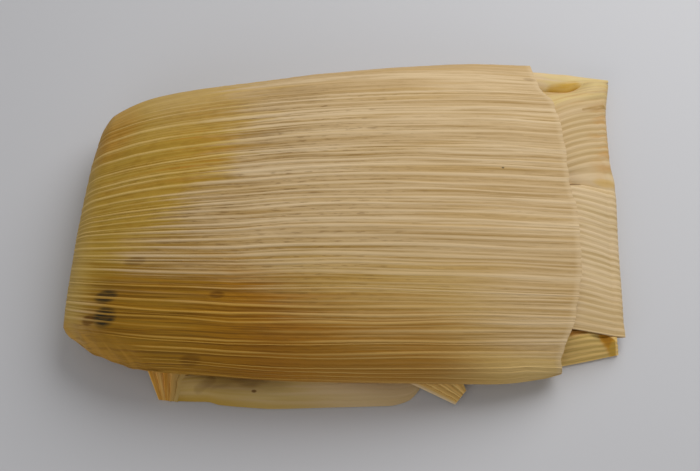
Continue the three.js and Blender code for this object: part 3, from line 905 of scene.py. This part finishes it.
def finish_piece(piece, nodes, material):
    """Lays a piece on the table, smooths it, gives it its finish and body, and hides the solids that it
    replaces.
    """
    select_only(piece)
    place = np.zeros(len(piece.data.vertices) * 3, np.float32)
    piece.data.vertices.foreach_get("co", place)
    place[2::3] = np.maximum(place[2::3], 0)
    piece.data.vertices.foreach_set("co", place)
    piece.data.update()
    bpy.ops.object.shade_smooth_by_angle(angle=math.radians(SMOOTH_ANGLE))
    piece.data.materials.clear()
    piece.data.materials.append(material)
    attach(piece, "root")
    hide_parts(*nodes)


def leaf_piece(
    name, surface, along, ribs, seed, rib_share, spans, unevenness=1.0, smooth_from=NEVER_SMOOTH
):
    """A husk leaf: a surface of places along it and shares across it, raised by its ribs and
    given the thickness of a leaf. Beyond the share smooth_from it has no ribs."""
    sizes = bpy.context.scene.tamale_sizes
    progress = (along - along[0]) / (along[-1] - along[0])
    share, rib = ribbed_rows(ribs, LEAF_PLACES, seed, progress, unevenness)
    rib = rib * smooth_step(smooth_from + SMOOTH_FADE, smooth_from - SMOOTH_FADE, share)
    points = surface(along[None, :] + 0 * share, share)
    points = points + surface_normals(points) * (sizes.rib / MM * rib_share * rib)[:, :, None]
    piece = shaped_grid(name, points, share * spans[1], rib, progress * spans[0])
    select_only(piece)
    wall = piece.modifiers.new("Leaf", "SOLIDIFY")
    wall.thickness = sizes.leaf
    wall.offset = 0
    bpy.ops.object.modifier_apply(modifier=wall.name)
    start_editing(piece)
    turn_faces_out()
    return piece


# Finishes ----------------------------------------------------------------------------------------


class Wire:
    """An output in a material's nodes. Arithmetic on it adds Math nodes."""

    def __init__(self, tree, socket):
        self.tree = tree
        self.socket = socket

    def node(self, kind, settings, sockets, output=0):
        """Adds a node: its settings are set first, then its sockets get values or links."""
        made = self.tree.nodes.new(kind)
        for name, value in settings.items():
            setattr(made, name, value)
        for key, value in sockets.items():
            if isinstance(value, Wire):
                self.tree.links.new(value.socket, made.inputs[key])
            else:
                made.inputs[key].default_value = value
        return Wire(self.tree, made.outputs[output])

    def math(self, operation, first, second):
        return self.node("ShaderNodeMath", {"operation": operation}, {0: first, 1: second})

    def __add__(self, other):
        return self.math("ADD", self, other)

    __radd__ = __add__

    def __sub__(self, other):
        return self.math("SUBTRACT", self, other)

    def __rsub__(self, other):
        return self.math("SUBTRACT", other, self)

    def __mul__(self, other):
        return self.math("MULTIPLY", self, other)

    __rmul__ = __mul__

    def __truediv__(self, other):
        return self.math("DIVIDE", self, other)

    def at_least(self, other):
        return self.math("MAXIMUM", self, other)

    def at_most(self, other):
        return self.math("MINIMUM", self, other)

    def between(self, low, high):
        """0 at low and 1 at high, with a smooth change."""
        settings = {"interpolation_type": "SMOOTHSTEP"}
        return self.node("ShaderNodeMapRange", settings, {0: self, 1: low, 2: high})

    def mix(self, under, over):
        """The colour under where this mask is 0, and the colour over where it is 1 or more."""
        sockets = {0: self, MIX_UNDER: under, MIX_OVER: over}
        return self.node("ShaderNodeMix", {"data_type": "RGBA"}, sockets, MIX_COLOUR)


class Husk:
    """A husk finish in the making: its places, its patterns and its shader."""

    def __init__(self, name):
        self.material = bpy.data.materials.new(name)
        self.material.use_nodes = True
        self.tree = self.material.node_tree
        self.tree.nodes.clear()
        self.start = Wire(self.tree, None)
        place = self.add("ShaderNodeTexCoord", {}, {}, OBJECT_PLACE)
        scaled = self.add("ShaderNodeVectorMath", {"operation": "SCALE"}, {0: place, "Scale": 1 / MM})
        self.x, self.y, _ = self.parts(scaled)
        self.along, self.across, _ = self.parts(self.add("ShaderNodeUVMap", {"uv_map": FIBRE_MAP}, {}))
        rib = {"attribute_name": RIB_ATTRIBUTE}
        self.rib = self.add("ShaderNodeAttribute", rib, {}, ATTRIBUTE_VALUE)

    def add(self, kind, settings, sockets, output=0):
        return self.start.node(kind, settings, sockets, output)

    def parts(self, vector):
        split = self.add("ShaderNodeSeparateXYZ", {}, {0: vector})
        return [Wire(self.tree, output) for output in split.socket.node.outputs]

    def noise(self, first, second, length, width, detail, depth=0.0):
        """Noise from 0 to 1 whose grains have that length one way and that width the other."""
        vector = self.add("ShaderNodeCombineXYZ", {}, {0: first / length, 1: second / width, 2: depth})
        sockets = {"Vector": vector, "Scale": 1.0, "Detail": detail}
        return self.add("ShaderNodeTexNoise", {"noise_dimensions": "3D"}, sockets)

    def streaks(self, *grain):
        return self.noise(self.along, self.across, *grain)

    def patches(self, *grain):
        return self.noise(self.x, self.y, *grain)

    def beyond(self, point, direction):
        return beyond(self.x, self.y, point, direction)

    def area(self, x_range, y_range):
        """A mask that grows over a range of x and over one of y."""
        return self.x.between(*x_range) * self.y.between(*y_range)

    def spot(self, x, y, width, height):
        """1 in the middle of an oval spot on the top, and 0 outside it."""
        from_x = (self.x - x) / width
        from_y = (self.y - y) / height
        return (from_x * from_x + from_y * from_y).between(*SPOT_FADE)

    def line(self, start, end, width):
        """1 along a straight line on the top, falling to 0 at a distance from it."""
        length = math.dist(start, end)
        east = (end[0] - start[0]) / length
        north = (end[1] - start[1]) / length
        ahead = self.beyond(start, (east, north))
        aside = self.beyond(start, (-north, east))
        past = (0.0 - ahead).at_least(ahead - length).at_least(0.0)
        return (aside * aside + past * past).between(width ** 2, 0.0)

    def finish(self, colour, roughness, relief, depth, shine=0.2):
        """Connects colour, roughness and the fine relief, whose depth is in millimetres."""
        bump = {"Height": relief, "Distance": depth * MM, "Strength": 1.0}
        normal = self.add("ShaderNodeBump", {}, bump)
        surface = {"Base Color": colour, "Roughness": roughness, "Normal": normal}
        surface["Specular IOR Level"] = shine
        shader = self.add("ShaderNodeBsdfPrincipled", {}, surface)
        output = self.tree.nodes.new("ShaderNodeOutputMaterial")
        self.tree.links.new(shader.socket, output.inputs[0])
        return self.material


def husk_finish(name, painted):
    """A husk's material, painted by one of the functions below."""
    return painted(Husk(name), bpy.context.scene.tamale_colours)


def coated(colour, *coats):
    """A colour under coats. Each coat is given as its colour, its strength and where it lies."""
    for coat, strength, where in coats:
        colour = (strength * where).mix(colour, coat)
    return colour


def ribbed_colour(husk, ground, ridge, furrow, contrast=1.0):
    """A plain ribbed husk: its ground, ridges and furrows, with long faint streaks."""
    streak = husk.streaks(*LEAF_STREAKS)
    shaded = 0.45 + 0.4 * streak.between(0.6, 0.35)
    return coated(
        ground,
        (ridge, 1.0, streak.between(0.35, 0.7)),
        (furrow, contrast, husk.rib.between(0.35, 0.02) * shaded),
        (ridge, 0.8 * contrast, husk.rib.between(0.35, 0.85)),
        (furrow, 0.15, husk.streaks(*LEAF_FIBRES).between(0.5, 0.3)),
    )


def fine_relief(husk):
    return 0.4 * husk.streaks(*LEAF_FIBRES) + 0.3 * husk.streaks(*SPECKLES)


def stained_wrap(husk, paints):
    """The stained wrap: dry and pale at the right, damp and yellow at the closed end, with a
    brown stain along the front."""
    thread = husk.streaks(*THREADS)
    long_streak = husk.streaks(*LONG_STREAKS)
    broad_streak = husk.streaks(*BROAD_STREAKS)
    vein = husk.streaks(*VEINS)
    dash = husk.streaks(*DASHES)
    blotch = husk.patches(*BLOTCHES)
    back_side = husk.across.between(*BACK_SIDE)
    to_right = husk.x.between(*TO_RIGHT_X)
    ridge = husk.rib.between(*RIDGE)
    ridge_line = husk.rib.between(*RIDGE_LINE)
    glow = husk.rib.between(*RIB_GLOW)
    furrow = husk.rib.between(*FURROW) * (1.0 - 0.75 * back_side)
    dark_vein = vein.between(0.53, 0.66) * (1.0 - ridge) * (1.0 - 0.5 * back_side)

    # Where the damp stain lies. Streaks and blotches draw its edge out.
    in_front = (DAMP_STRAIGHT_Y - husk.y).at_least(0.0).at_most(DAMP_SLANT_WIDTH)
    reach = husk.x - (DAMP_EDGE_X - in_front * DAMP_SLANT)
    reach = reach - (long_streak - 0.5) * DAMP_BY_STREAKS - (blotch - 0.5) * DAMP_BY_BLOTCHES
    damp_share = reach.between(8.0, -8.0) * (1.0 - 0.3 * husk.area(*DRY_BACK))
    near_damp = reach.between(24.0, 2.0)
    damp_edge = reach.between(-18.0, -6.0) * husk.y.between(0.0, 8.0) * thread.between(0.4, 0.55)

    # Where the brown stain lies, and the olive border above it.
    falling_left = (husk.x - BROWN_BEND_X[0]).at_least(0.0).at_most(BROWN_BEND_WIDTH)
    falling_right = (husk.x - BROWN_BEND_X[1]).at_least(0.0)
    brown_top = BROWN_TOP_Y - falling_left * BROWN_SLOPES[0] - falling_right * BROWN_SLOPES[1]
    below_top = brown_top - husk.y
    below_top = below_top + (long_streak - 0.5) * BROWN_BY_LONG + (broad_streak - 0.5) * BROWN_BY_BROAD
    softness = BROWN_SOFTNESS + SOFTER_TO_RIGHT * husk.x.between(*SOFTER_X)
    left_end = husk.x.between(*BROWN_LEFT_END)
    weaker = 1.0 - WEAKER_TO_RIGHT * husk.x.between(*WEAKER_X)
    brown_share = (below_top / softness).between(-1.0, 1.0) * left_end
    brown_share = brown_share * husk.x.between(*BROWN_RIGHT_END) * weaker
    near_brown = below_top.between(*OLIVE_BORDER) * husk.x.between(*OLIVE_RIGHT_END) * left_end

    warmth = 0.5 * broad_streak.between(0.5, 0.68) + 0.35 * husk.y.between(6.0, -26.0)
    dark_furrow = furrow * (0.08 + 0.3 * long_streak.between(0.42, 0.6) + 0.33 * near_damp)
    shaded_band = husk.y.between(-5.0, -9.0) * husk.y.between(-16.0, -12.0) * husk.x.between(-24.0, -8.0)
    golden_band = husk.y.between(-8.0, -24.0) * husk.x.between(-30.0, -8.0) * husk.x.between(46.0, 20.0)
    dry = coated(
        paints.dry,
        (paints.pale, 0.8, husk.streaks(*BANDS).between(0.36, 0.64)),
        (paints.warm, 1.0, warmth),
        (paints.furrow, 0.3, thread.between(0.5, 0.36)),
        (paints.furrow, 1.0 - 0.2 * to_right, dark_furrow + 0.55 * dark_vein),
        (paints.furrow, 0.3, shaded_band),
        (paints.crinkle_and_shade, 0.35, near_damp * furrow * blotch.between(0.42, 0.6)),
        (paints.olive, 0.62, near_brown * (0.5 + 0.5 * furrow)),
        (paints.pale, 0.6 - 0.12 * to_right, ridge),
        (paints.damp, 0.38, golden_band),
        (paints.damp_rib, 0.6, husk.area(*BRIGHT_FOOT)),
    )

    warm_patch = husk.patches(*WARM_PATCHES).between(0.45, 0.7) * broad_streak.between(0.42, 0.6)
    amber_corner = husk.spot(*AMBER_CORNER)
    mottle = husk.noise(husk.along, husk.across, *MOTTLES)
    lit_flank = husk.x.between(*LIT_LEFT_FLANK_X)
    damp = coated(
        paints.damp,
        (paints.amber, 1.0, 0.2 * warm_patch + 0.6 * damp_edge * furrow + 0.7 * amber_corner),
        (paints.olive, 0.3, mottle.between(0.52, 0.36)),
        (paints.olive, 1.0, 0.35 * dark_vein + 0.3 * furrow * long_streak.between(0.46, 0.6)),
        (paints.olive, 0.35, near_brown * (0.4 + 0.6 * furrow)),
        # Painted light on the left flank: it turns away from the key light and is painted lighter here.
        (paints.damp_rib, 1.0, 0.25 * glow + 0.35 * lit_flank + 0.35 * back_side),
        (paints.damp_rib, 0.75, ridge_line),
    )

    brown = coated(
        paints.olive,
        (paints.brown, 1.0, husk.x.between(*BROWNER_X)),
        (paints.ochre, 0.4, thread.between(0.42, 0.6)),
        (paints.deep_brown, 0.48, vein.between(0.5, 0.58)),
        (paints.ochre, 1.0, 0.25 * glow + 0.4 * husk.area(*OCHRE_FOOT)),
        (paints.brown_rib, 0.7, ridge_line),
    )

    below_corner = husk.beyond(CORNER_POINT, BELOW_CORNER)
    front_corner = husk.x.between(*CORNER_STAIN_X) * below_corner.between(*CORNER_STAIN)
    corner_line = husk.noise(husk.x + husk.y, husk.x - husk.y, *CORNER_LINES).between(0.42, 0.6)
    colour = coated(
        dry,
        (damp, 1.0, damp_share),
        (brown, 1.0, brown_share),
        (paints.corner, 0.3 + 0.35 * corner_line, front_corner),
        # Painted highlight: a pale strip along the mouth's rim.
        (paints.pale, 0.4, husk.along.between(*MOUTH_RIM_HIGHLIGHT)),
    )
    broken = (0.75 + 0.25 * husk.streaks(*SPOT_BREAKS).between(0.4, 0.55)) * (1.0 - 0.9 * ridge)
    for spots, shade in ((BROWN_SPOTS, paints.deep_brown), (DARK_SPOTS, paints.spot)):
        for *oval, strength in spots:
            colour = coated(colour, (shade, strength, husk.spot(*oval) * broken))
    crinkled = (0.3 + 0.7 * husk.x.between(*CRINKLES_X)) * (1.0 - 0.9 * damp_share)
    dark_dash = dash.between(0.52, 0.66) * furrow * crinkled
    colour = coated(colour, (paints.crinkle_and_shade, 0.5, dark_dash * (1.0 - 0.6 * brown_share)))

    roughness = 0.68 - 0.14 * damp_share - 0.08 * brown_share
    relief = 0.4 * husk.streaks(*PITS) * furrow + 0.3 * husk.streaks(*FIBRES) + 0.35 * dash + 0.8 * vein
    return husk.finish(colour, roughness, relief, depth=0.14, shine=0.11)


def dry_fold(husk, paints):
    """The dry folded end, with orange tints at its edge, a smooth yellow back corner with painted
    shade where it sinks into the valley, and a painted shade line at the crease near the mouth.
    """
    tinted = husk.streaks(*FOLD_TINTS).between(0.42, 0.6)
    share = husk.across / FOLD_SPANS[1]
    smooth = share.between(SMOOTH_FROM - 0.03, SMOOTH_FROM + 0.03)
    yellow = coated(
        paints.yellow,
        (paints.dry, 0.7, husk.streaks(*YELLOW_STREAKS).between(0.38, 0.6)),
        (paints.amber, 0.35, husk.streaks(*AMBER_STREAKS).between(0.52, 0.66)),
        # Painted shade, in a deeper yellow, where the smooth back corner sinks into the valley.
        (paints.deep_yellow, 0.4, share.between(0.95, 1.0) * husk.x.between(64.0, 58.0)),
    )
    colour = coated(
        ribbed_colour(husk, paints.fold, paints.pale, paints.furrow, contrast=0.62),
        (paints.amber, 0.5, tinted * husk.x.between(60.0, 67.0) * husk.spot(*FOLD_EDGE_TINT)),
        (paints.warm, 0.25, husk.y.between(12.0, 20.0)),
        (yellow, 0.85, smooth),
        (paints.warm, 0.32, husk.y.between(-10.0, -24.0) * (0.4 + 0.6 * tinted)),
        (paints.deep_yellow, 0.4, husk.spot(*FOLD_FACET)),
        (paints.olive, 0.85, husk.line(*TUCK_LINE) * husk.streaks(*TUCK_STREAKS).between(0.3, 0.6)),
        # Painted shade: a dark line in the crease's valley next to the mouth.
        (paints.crinkle_and_shade, 0.9, husk.line(*MOUTH_CREASE_SHADE)),
    )
    return husk.finish(colour, roughness=0.6, relief=fine_relief(husk), depth=0.1)


def yellow_curl(husk, paints):
    """The curl's yellow husk, deeper yellow with painted shade where it dips to the valley."""
    deep = husk.streaks(*CURL_STREAKS).between(0.45, 0.6)
    valley_shade = husk.line(*CURL_VALLEY_SHADE) * (0.75 + 0.25 * deep)
    colour = coated(
        ribbed_colour(husk, paints.yellow, paints.pale, paints.yellow),
        (paints.pale, 0.6, husk.x.between(54.0, 50.0)),
        # Painted shade in the valley, in a deeper yellow and ochre.
        (paints.deep_yellow, 1.0, 0.15 * deep + 1.1 * valley_shade),
        (paints.ochre, 0.15, valley_shade),
    )
    return husk.finish(colour, roughness=0.52, relief=fine_relief(husk), depth=0.08)


def pocketed_layer(husk, paints):
    """The ribbed under layer: golden inside its pocket, with painted shade and a painted glow of light
    through the leaf there, bright at the pocket's rim, and with painted shade in the crevice under
    the folded end.
    """
    inside = husk.beyond(*POCKET_BORDER).between(-0.6, 0.5) * husk.x.between(60.8, 62.2)
    rim = (husk.along / UNDER_SPANS[0]).between(0.95, 0.975)
    torn_edge = husk.beyond(*TORN_BORDER).between(-0.2, 0.2) * husk.x.between(63.6, 64.6)
    colour = coated(
        ribbed_colour(husk, paints.damp_rib, paints.bright, paints.damp, contrast=0.65),
        # Painted shade and a painted glow of light through the leaf: the pocket's inside is golden.
        (paints.golden, 1.0, inside),
        (paints.brown, 0.5, husk.spot(*POCKET_SHADE)),
        (paints.deep_yellow, 0.9, husk.spot(*POCKET_GLEAM)),
        (paints.bright, 1.0, rim.at_least(torn_edge)),
        # Painted shade in the crevice under the folded end's front edge.
        (paints.brown, 0.9, husk.line(*UNDER_CREVICE_SHADE)),
    )
    return husk.finish(colour, roughness=0.55, relief=fine_relief(husk), depth=0.08)


def smooth_flap(husk, paints):
    """The side flap: faint streaks on smooth husk, yellow at its outer edge and its left, made pale at
    its right by painted light, with painted shade along the wrap's foot and a painted shadow line
    where it folds under the tail."""
    at_edge = husk.across.between(3.2, 0.8)
    to_left = husk.x.between(-18.0, -34.0)
    shade = 0.5 + husk.patches(*FLAP_SHADES).between(0.3, 0.7)
    foot_shade = husk.y.between(-42.6, -39.8) * husk.x.between(-38.0, -33.0) * husk.x.between(-12.0, -24.0)
    colour = coated(
        paints.smooth,
        (paints.pale, 0.55, husk.streaks(*FLAP_STREAKS).between(0.38, 0.62)),
        (paints.damp, 1.0, 0.45 * at_edge + 0.5 * to_left),
        # Painted light: the right part, which the wrap's overhang shades, is painted paler.
        (paints.pale, 0.6, husk.x.between(-18.0, 4.0)),
        # Painted shade along the wrap's foot, and a painted shadow line where the flap folds under the
        # tail.
        (paints.crinkle_and_shade, 1.0, 0.45 * foot_shade * shade + 0.3 * husk.line(*FLAP_FOLD_SHADOW)),
        (paints.crinkle_and_shade, 1.0, husk.spot(*FLAP_SPECK)),
    )
    return husk.finish(colour, roughness=0.55, relief=fine_relief(husk), depth=0.05)


def pointed_tab(husk, paints):
    """The pointed tab: orange-yellow, paler at its lower edge."""
    ribbed = ribbed_colour(husk, paints.damp_rib, paints.bright, paints.amber, contrast=0.6)
    colour = coated(ribbed, (paints.pale, 0.8, husk.across.between(1.8, 0.6)))
    return husk.finish(colour, roughness=0.5, relief=fine_relief(husk), depth=0.06)


def damp_tail(husk, paints):
    """The folded tail: amber furrows under bright ribs, merging into the flap at the right."""
    ribbed = ribbed_colour(husk, paints.golden, paints.bright, paints.amber)
    colour = coated(ribbed, (paints.smooth, 0.85, husk.across.between(3.8, 6.6)))
    return husk.finish(colour, roughness=0.5, relief=fine_relief(husk), depth=0.08, shine=0.12)


def floor_finish(colour):
    material = bpy.data.materials.new("pale_floor")
    material.use_nodes = True
    shader = material.node_tree.nodes["Principled BSDF"]
    shader.inputs["Base Color"].default_value = colour
    shader.inputs["Roughness"].default_value = FLOOR_ROUGHNESS
    return material


# Pieces ------------------------------------------------------------------------------------------


class TAMALE_OT_wrap(bpy.types.Operator):
    """Model the ribbed wrap with its open mouth"""

    bl_idname = "tamale.wrap"
    bl_label = "Wrap"

    def execute(self, context):
        sizes = context.scene.tamale_sizes
        points, across, rib, along = wrap_surface(sizes.rib / MM)
        piece = shaped_grid("wrap", points, across, rib, along)
        start_editing(piece)
        bpy.ops.mesh.remove_doubles(threshold=MERGE_DISTANCE * MM)
        # The left end is closed, and the mouth's edge gets the thickness of a leaf before a floor
        # closes it further in.
        select_open_edges(piece, right_of_middle=False)
        bpy.ops.mesh.edge_face_add()
        select_open_edges(piece, right_of_middle=True)
        middle = ((front_y(1) + back_y(1)) / 2, crown_z(1) / 2)
        centre = Vector((mouth_x(0.0), *middle)) * MM
        leaf = sizes.leaf / MM
        narrow = (1 - 2 * leaf / (back_y(1) - front_y(1)), 1 - 2 * leaf / crown_z(1))
        bpy.ops.mesh.extrude_edges_move()
        bpy.ops.transform.resize(value=(1, *narrow), center_override=centre)
        inwards = {"value": (-MOUTH_DEPTH * MM, 0, 0)}
        bpy.ops.mesh.extrude_edges_move(TRANSFORM_OT_translate=inwards)
        bpy.ops.transform.resize(value=(1, MOUTH_NARROWING, MOUTH_NARROWING), center_override=centre)
        bpy.ops.mesh.edge_face_add()
        turn_faces_out()
        finish_piece(piece, ["wrapped_body"], husk_finish("stained_husk", stained_wrap))
        return {"FINISHED"}


class TAMALE_OT_folded_end(bpy.types.Operator):
    """Model the inner husk's folded end"""

    bl_idname = "tamale.folded_end"
    bl_label = "Folded end"

    def execute(self, context):
        piece = leaf_piece("folded_end", folded_end, **FOLD_LEAF)
        finish_piece(piece, ["end_fold"], husk_finish("folded_husk", dry_fold))
        return {"FINISHED"}


class TAMALE_OT_under_layer(bpy.types.Operator):
    """Model the layer under the folded end"""

    bl_idname = "tamale.under_layer"
    bl_label = "Under layer"

    def execute(self, context):
        piece = leaf_piece("under_layer", under_layer, **UNDER_LEAF)
        material = husk_finish("pocket_husk", pocketed_layer)
        finish_piece(piece, ["end_under_layer"], material)
        return {"FINISHED"}


class TAMALE_OT_curl(bpy.types.Operator):
    """Model the rolled corner at the back"""

    bl_idname = "tamale.curl"
    bl_label = "Curl"

    def execute(self, context):
        piece = leaf_piece("curl", rolled_corner, **CURL_LEAF)
        finish_piece(piece, ["end_curl"], husk_finish("yellow_husk", yellow_curl))
        return {"FINISHED"}


class TAMALE_OT_side_flap(bpy.types.Operator):
    """Model the smooth flap along the front foot"""

    bl_idname = "tamale.side_flap"
    bl_label = "Side flap"

    def execute(self, context):
        piece = leaf_piece("front_flap", side_flap, **FLAP_LEAF)
        finish_piece(piece, ["side_flap"], husk_finish("smooth_husk", smooth_flap))
        return {"FINISHED"}


class TAMALE_OT_corners(bpy.types.Operator):
    """Model the folded tail and the pointed tab at the front"""

    bl_idname = "tamale.corners"
    bl_label = "Tail and tab"

    def execute(self, context):
        tail = leaf_piece("tail", between_corners(TAIL_CORNERS), **TAIL_LEAF)
        finish_piece(tail, ["tail_corner"], husk_finish("damp_husk", damp_tail))
        tab = leaf_piece("tab", between_corners(TAB_CORNERS), **TAB_LEAF)
        finish_piece(tab, ["corner_tab"], husk_finish("tab_husk", pointed_tab))
        return {"FINISHED"}


class TAMALE_OT_stage(bpy.types.Operator):
    """Set up the floor, the lights and the camera"""

    bl_idname = "tamale.stage"
    bl_label = "Stage"

    def execute(self, context):
        stage = context.scene.tamale_stage
        bpy.ops.object.select_all(action="DESELECT")
        bpy.ops.mesh.primitive_plane_add(size=FLOOR_SIZE * MM)
        floor = context.active_object
        floor.name = "floor"
        floor.data.materials.append(floor_finish(stage.floor))

        target = Vector(CAMERA_TARGET) * MM
        self.add_light("key", KEY_FROM, KEY_SIZE, stage.key, target)
        self.add_light("fill", FILL_FROM, FILL_SIZE, stage.fill, target)
        world = bpy.data.worlds.new("room")
        world.use_nodes = True
        background = world.node_tree.nodes["Background"]
        background.inputs["Color"].default_value = WHITE
        background.inputs["Strength"].default_value = stage.sky
        context.scene.world = world
        context.scene.view_settings.view_transform = "Standard"

        elevation = math.radians(CAMERA_ELEVATION)
        back = Vector((0, -math.cos(elevation), math.sin(elevation)))
        place = target + back * stage.distance
        bpy.ops.object.camera_add(location=place, rotation=(-back).to_track_quat("-Z", "Y").to_euler())
        camera = context.active_object
        camera.name = "camera"
        camera.data.lens = CAMERA_LENS
        camera.data.sensor_width = SENSOR_WIDTH
        context.scene.camera = camera
        return {"FINISHED"}

    def add_light(self, name, place, size, power, target):
        place = Vector(place) * MM
        turned = (target - place).to_track_quat("-Z", "Y").to_euler()
        bpy.ops.object.light_add(type="AREA", location=place, rotation=turned)
        light = bpy.context.active_object
        light.name = name
        light.data.shape = "DISK"
        light.data.size = size * MM
        light.data.energy = power


class TAMALE_PT_sidebar(bpy.types.Panel):
    """Lists the pieces of the tamale and what can be changed"""

    bl_label = "Tamale"
    bl_space_type = "VIEW_3D"
    bl_region_type = "UI"
    bl_category = "Tamale"

    def draw(self, context):
        scene = context.scene
        for group in (scene.tamale_sizes, scene.tamale_colours, scene.tamale_stage):
            box = self.layout.box()
            for name in group.__annotations__:
                box.prop(group, name)
        for operator in OPERATORS:
            self.layout.operator(operator.bl_idname)


OPERATORS = (
    TAMALE_OT_wrap, TAMALE_OT_folded_end, TAMALE_OT_under_layer, TAMALE_OT_curl,
    TAMALE_OT_side_flap, TAMALE_OT_corners, TAMALE_OT_stage,
)
CLASSES = (TamaleSizes, TamaleColours, TamaleStage, *OPERATORS, TAMALE_PT_sidebar)


def register():
    for each in CLASSES:
        bpy.utils.register_class(each)
    bpy.types.Scene.tamale_sizes = PointerProperty(type=TamaleSizes)
    bpy.types.Scene.tamale_colours = PointerProperty(type=TamaleColours)
    bpy.types.Scene.tamale_stage = PointerProperty(type=TamaleStage)


def unregister():
    del bpy.types.Scene.tamale_stage
    del bpy.types.Scene.tamale_colours
    del bpy.types.Scene.tamale_sizes
    for each in reversed(CLASSES):
        bpy.utils.unregister_class(each)


def main():
    register()
    bpy.ops.tamale.stage()
    bpy.ops.tamale.wrap()
    bpy.ops.tamale.folded_end()
    bpy.ops.tamale.under_layer()
    bpy.ops.tamale.curl()
    bpy.ops.tamale.side_flap()
    bpy.ops.tamale.corners()


if __name__ == "__main__":
    main()
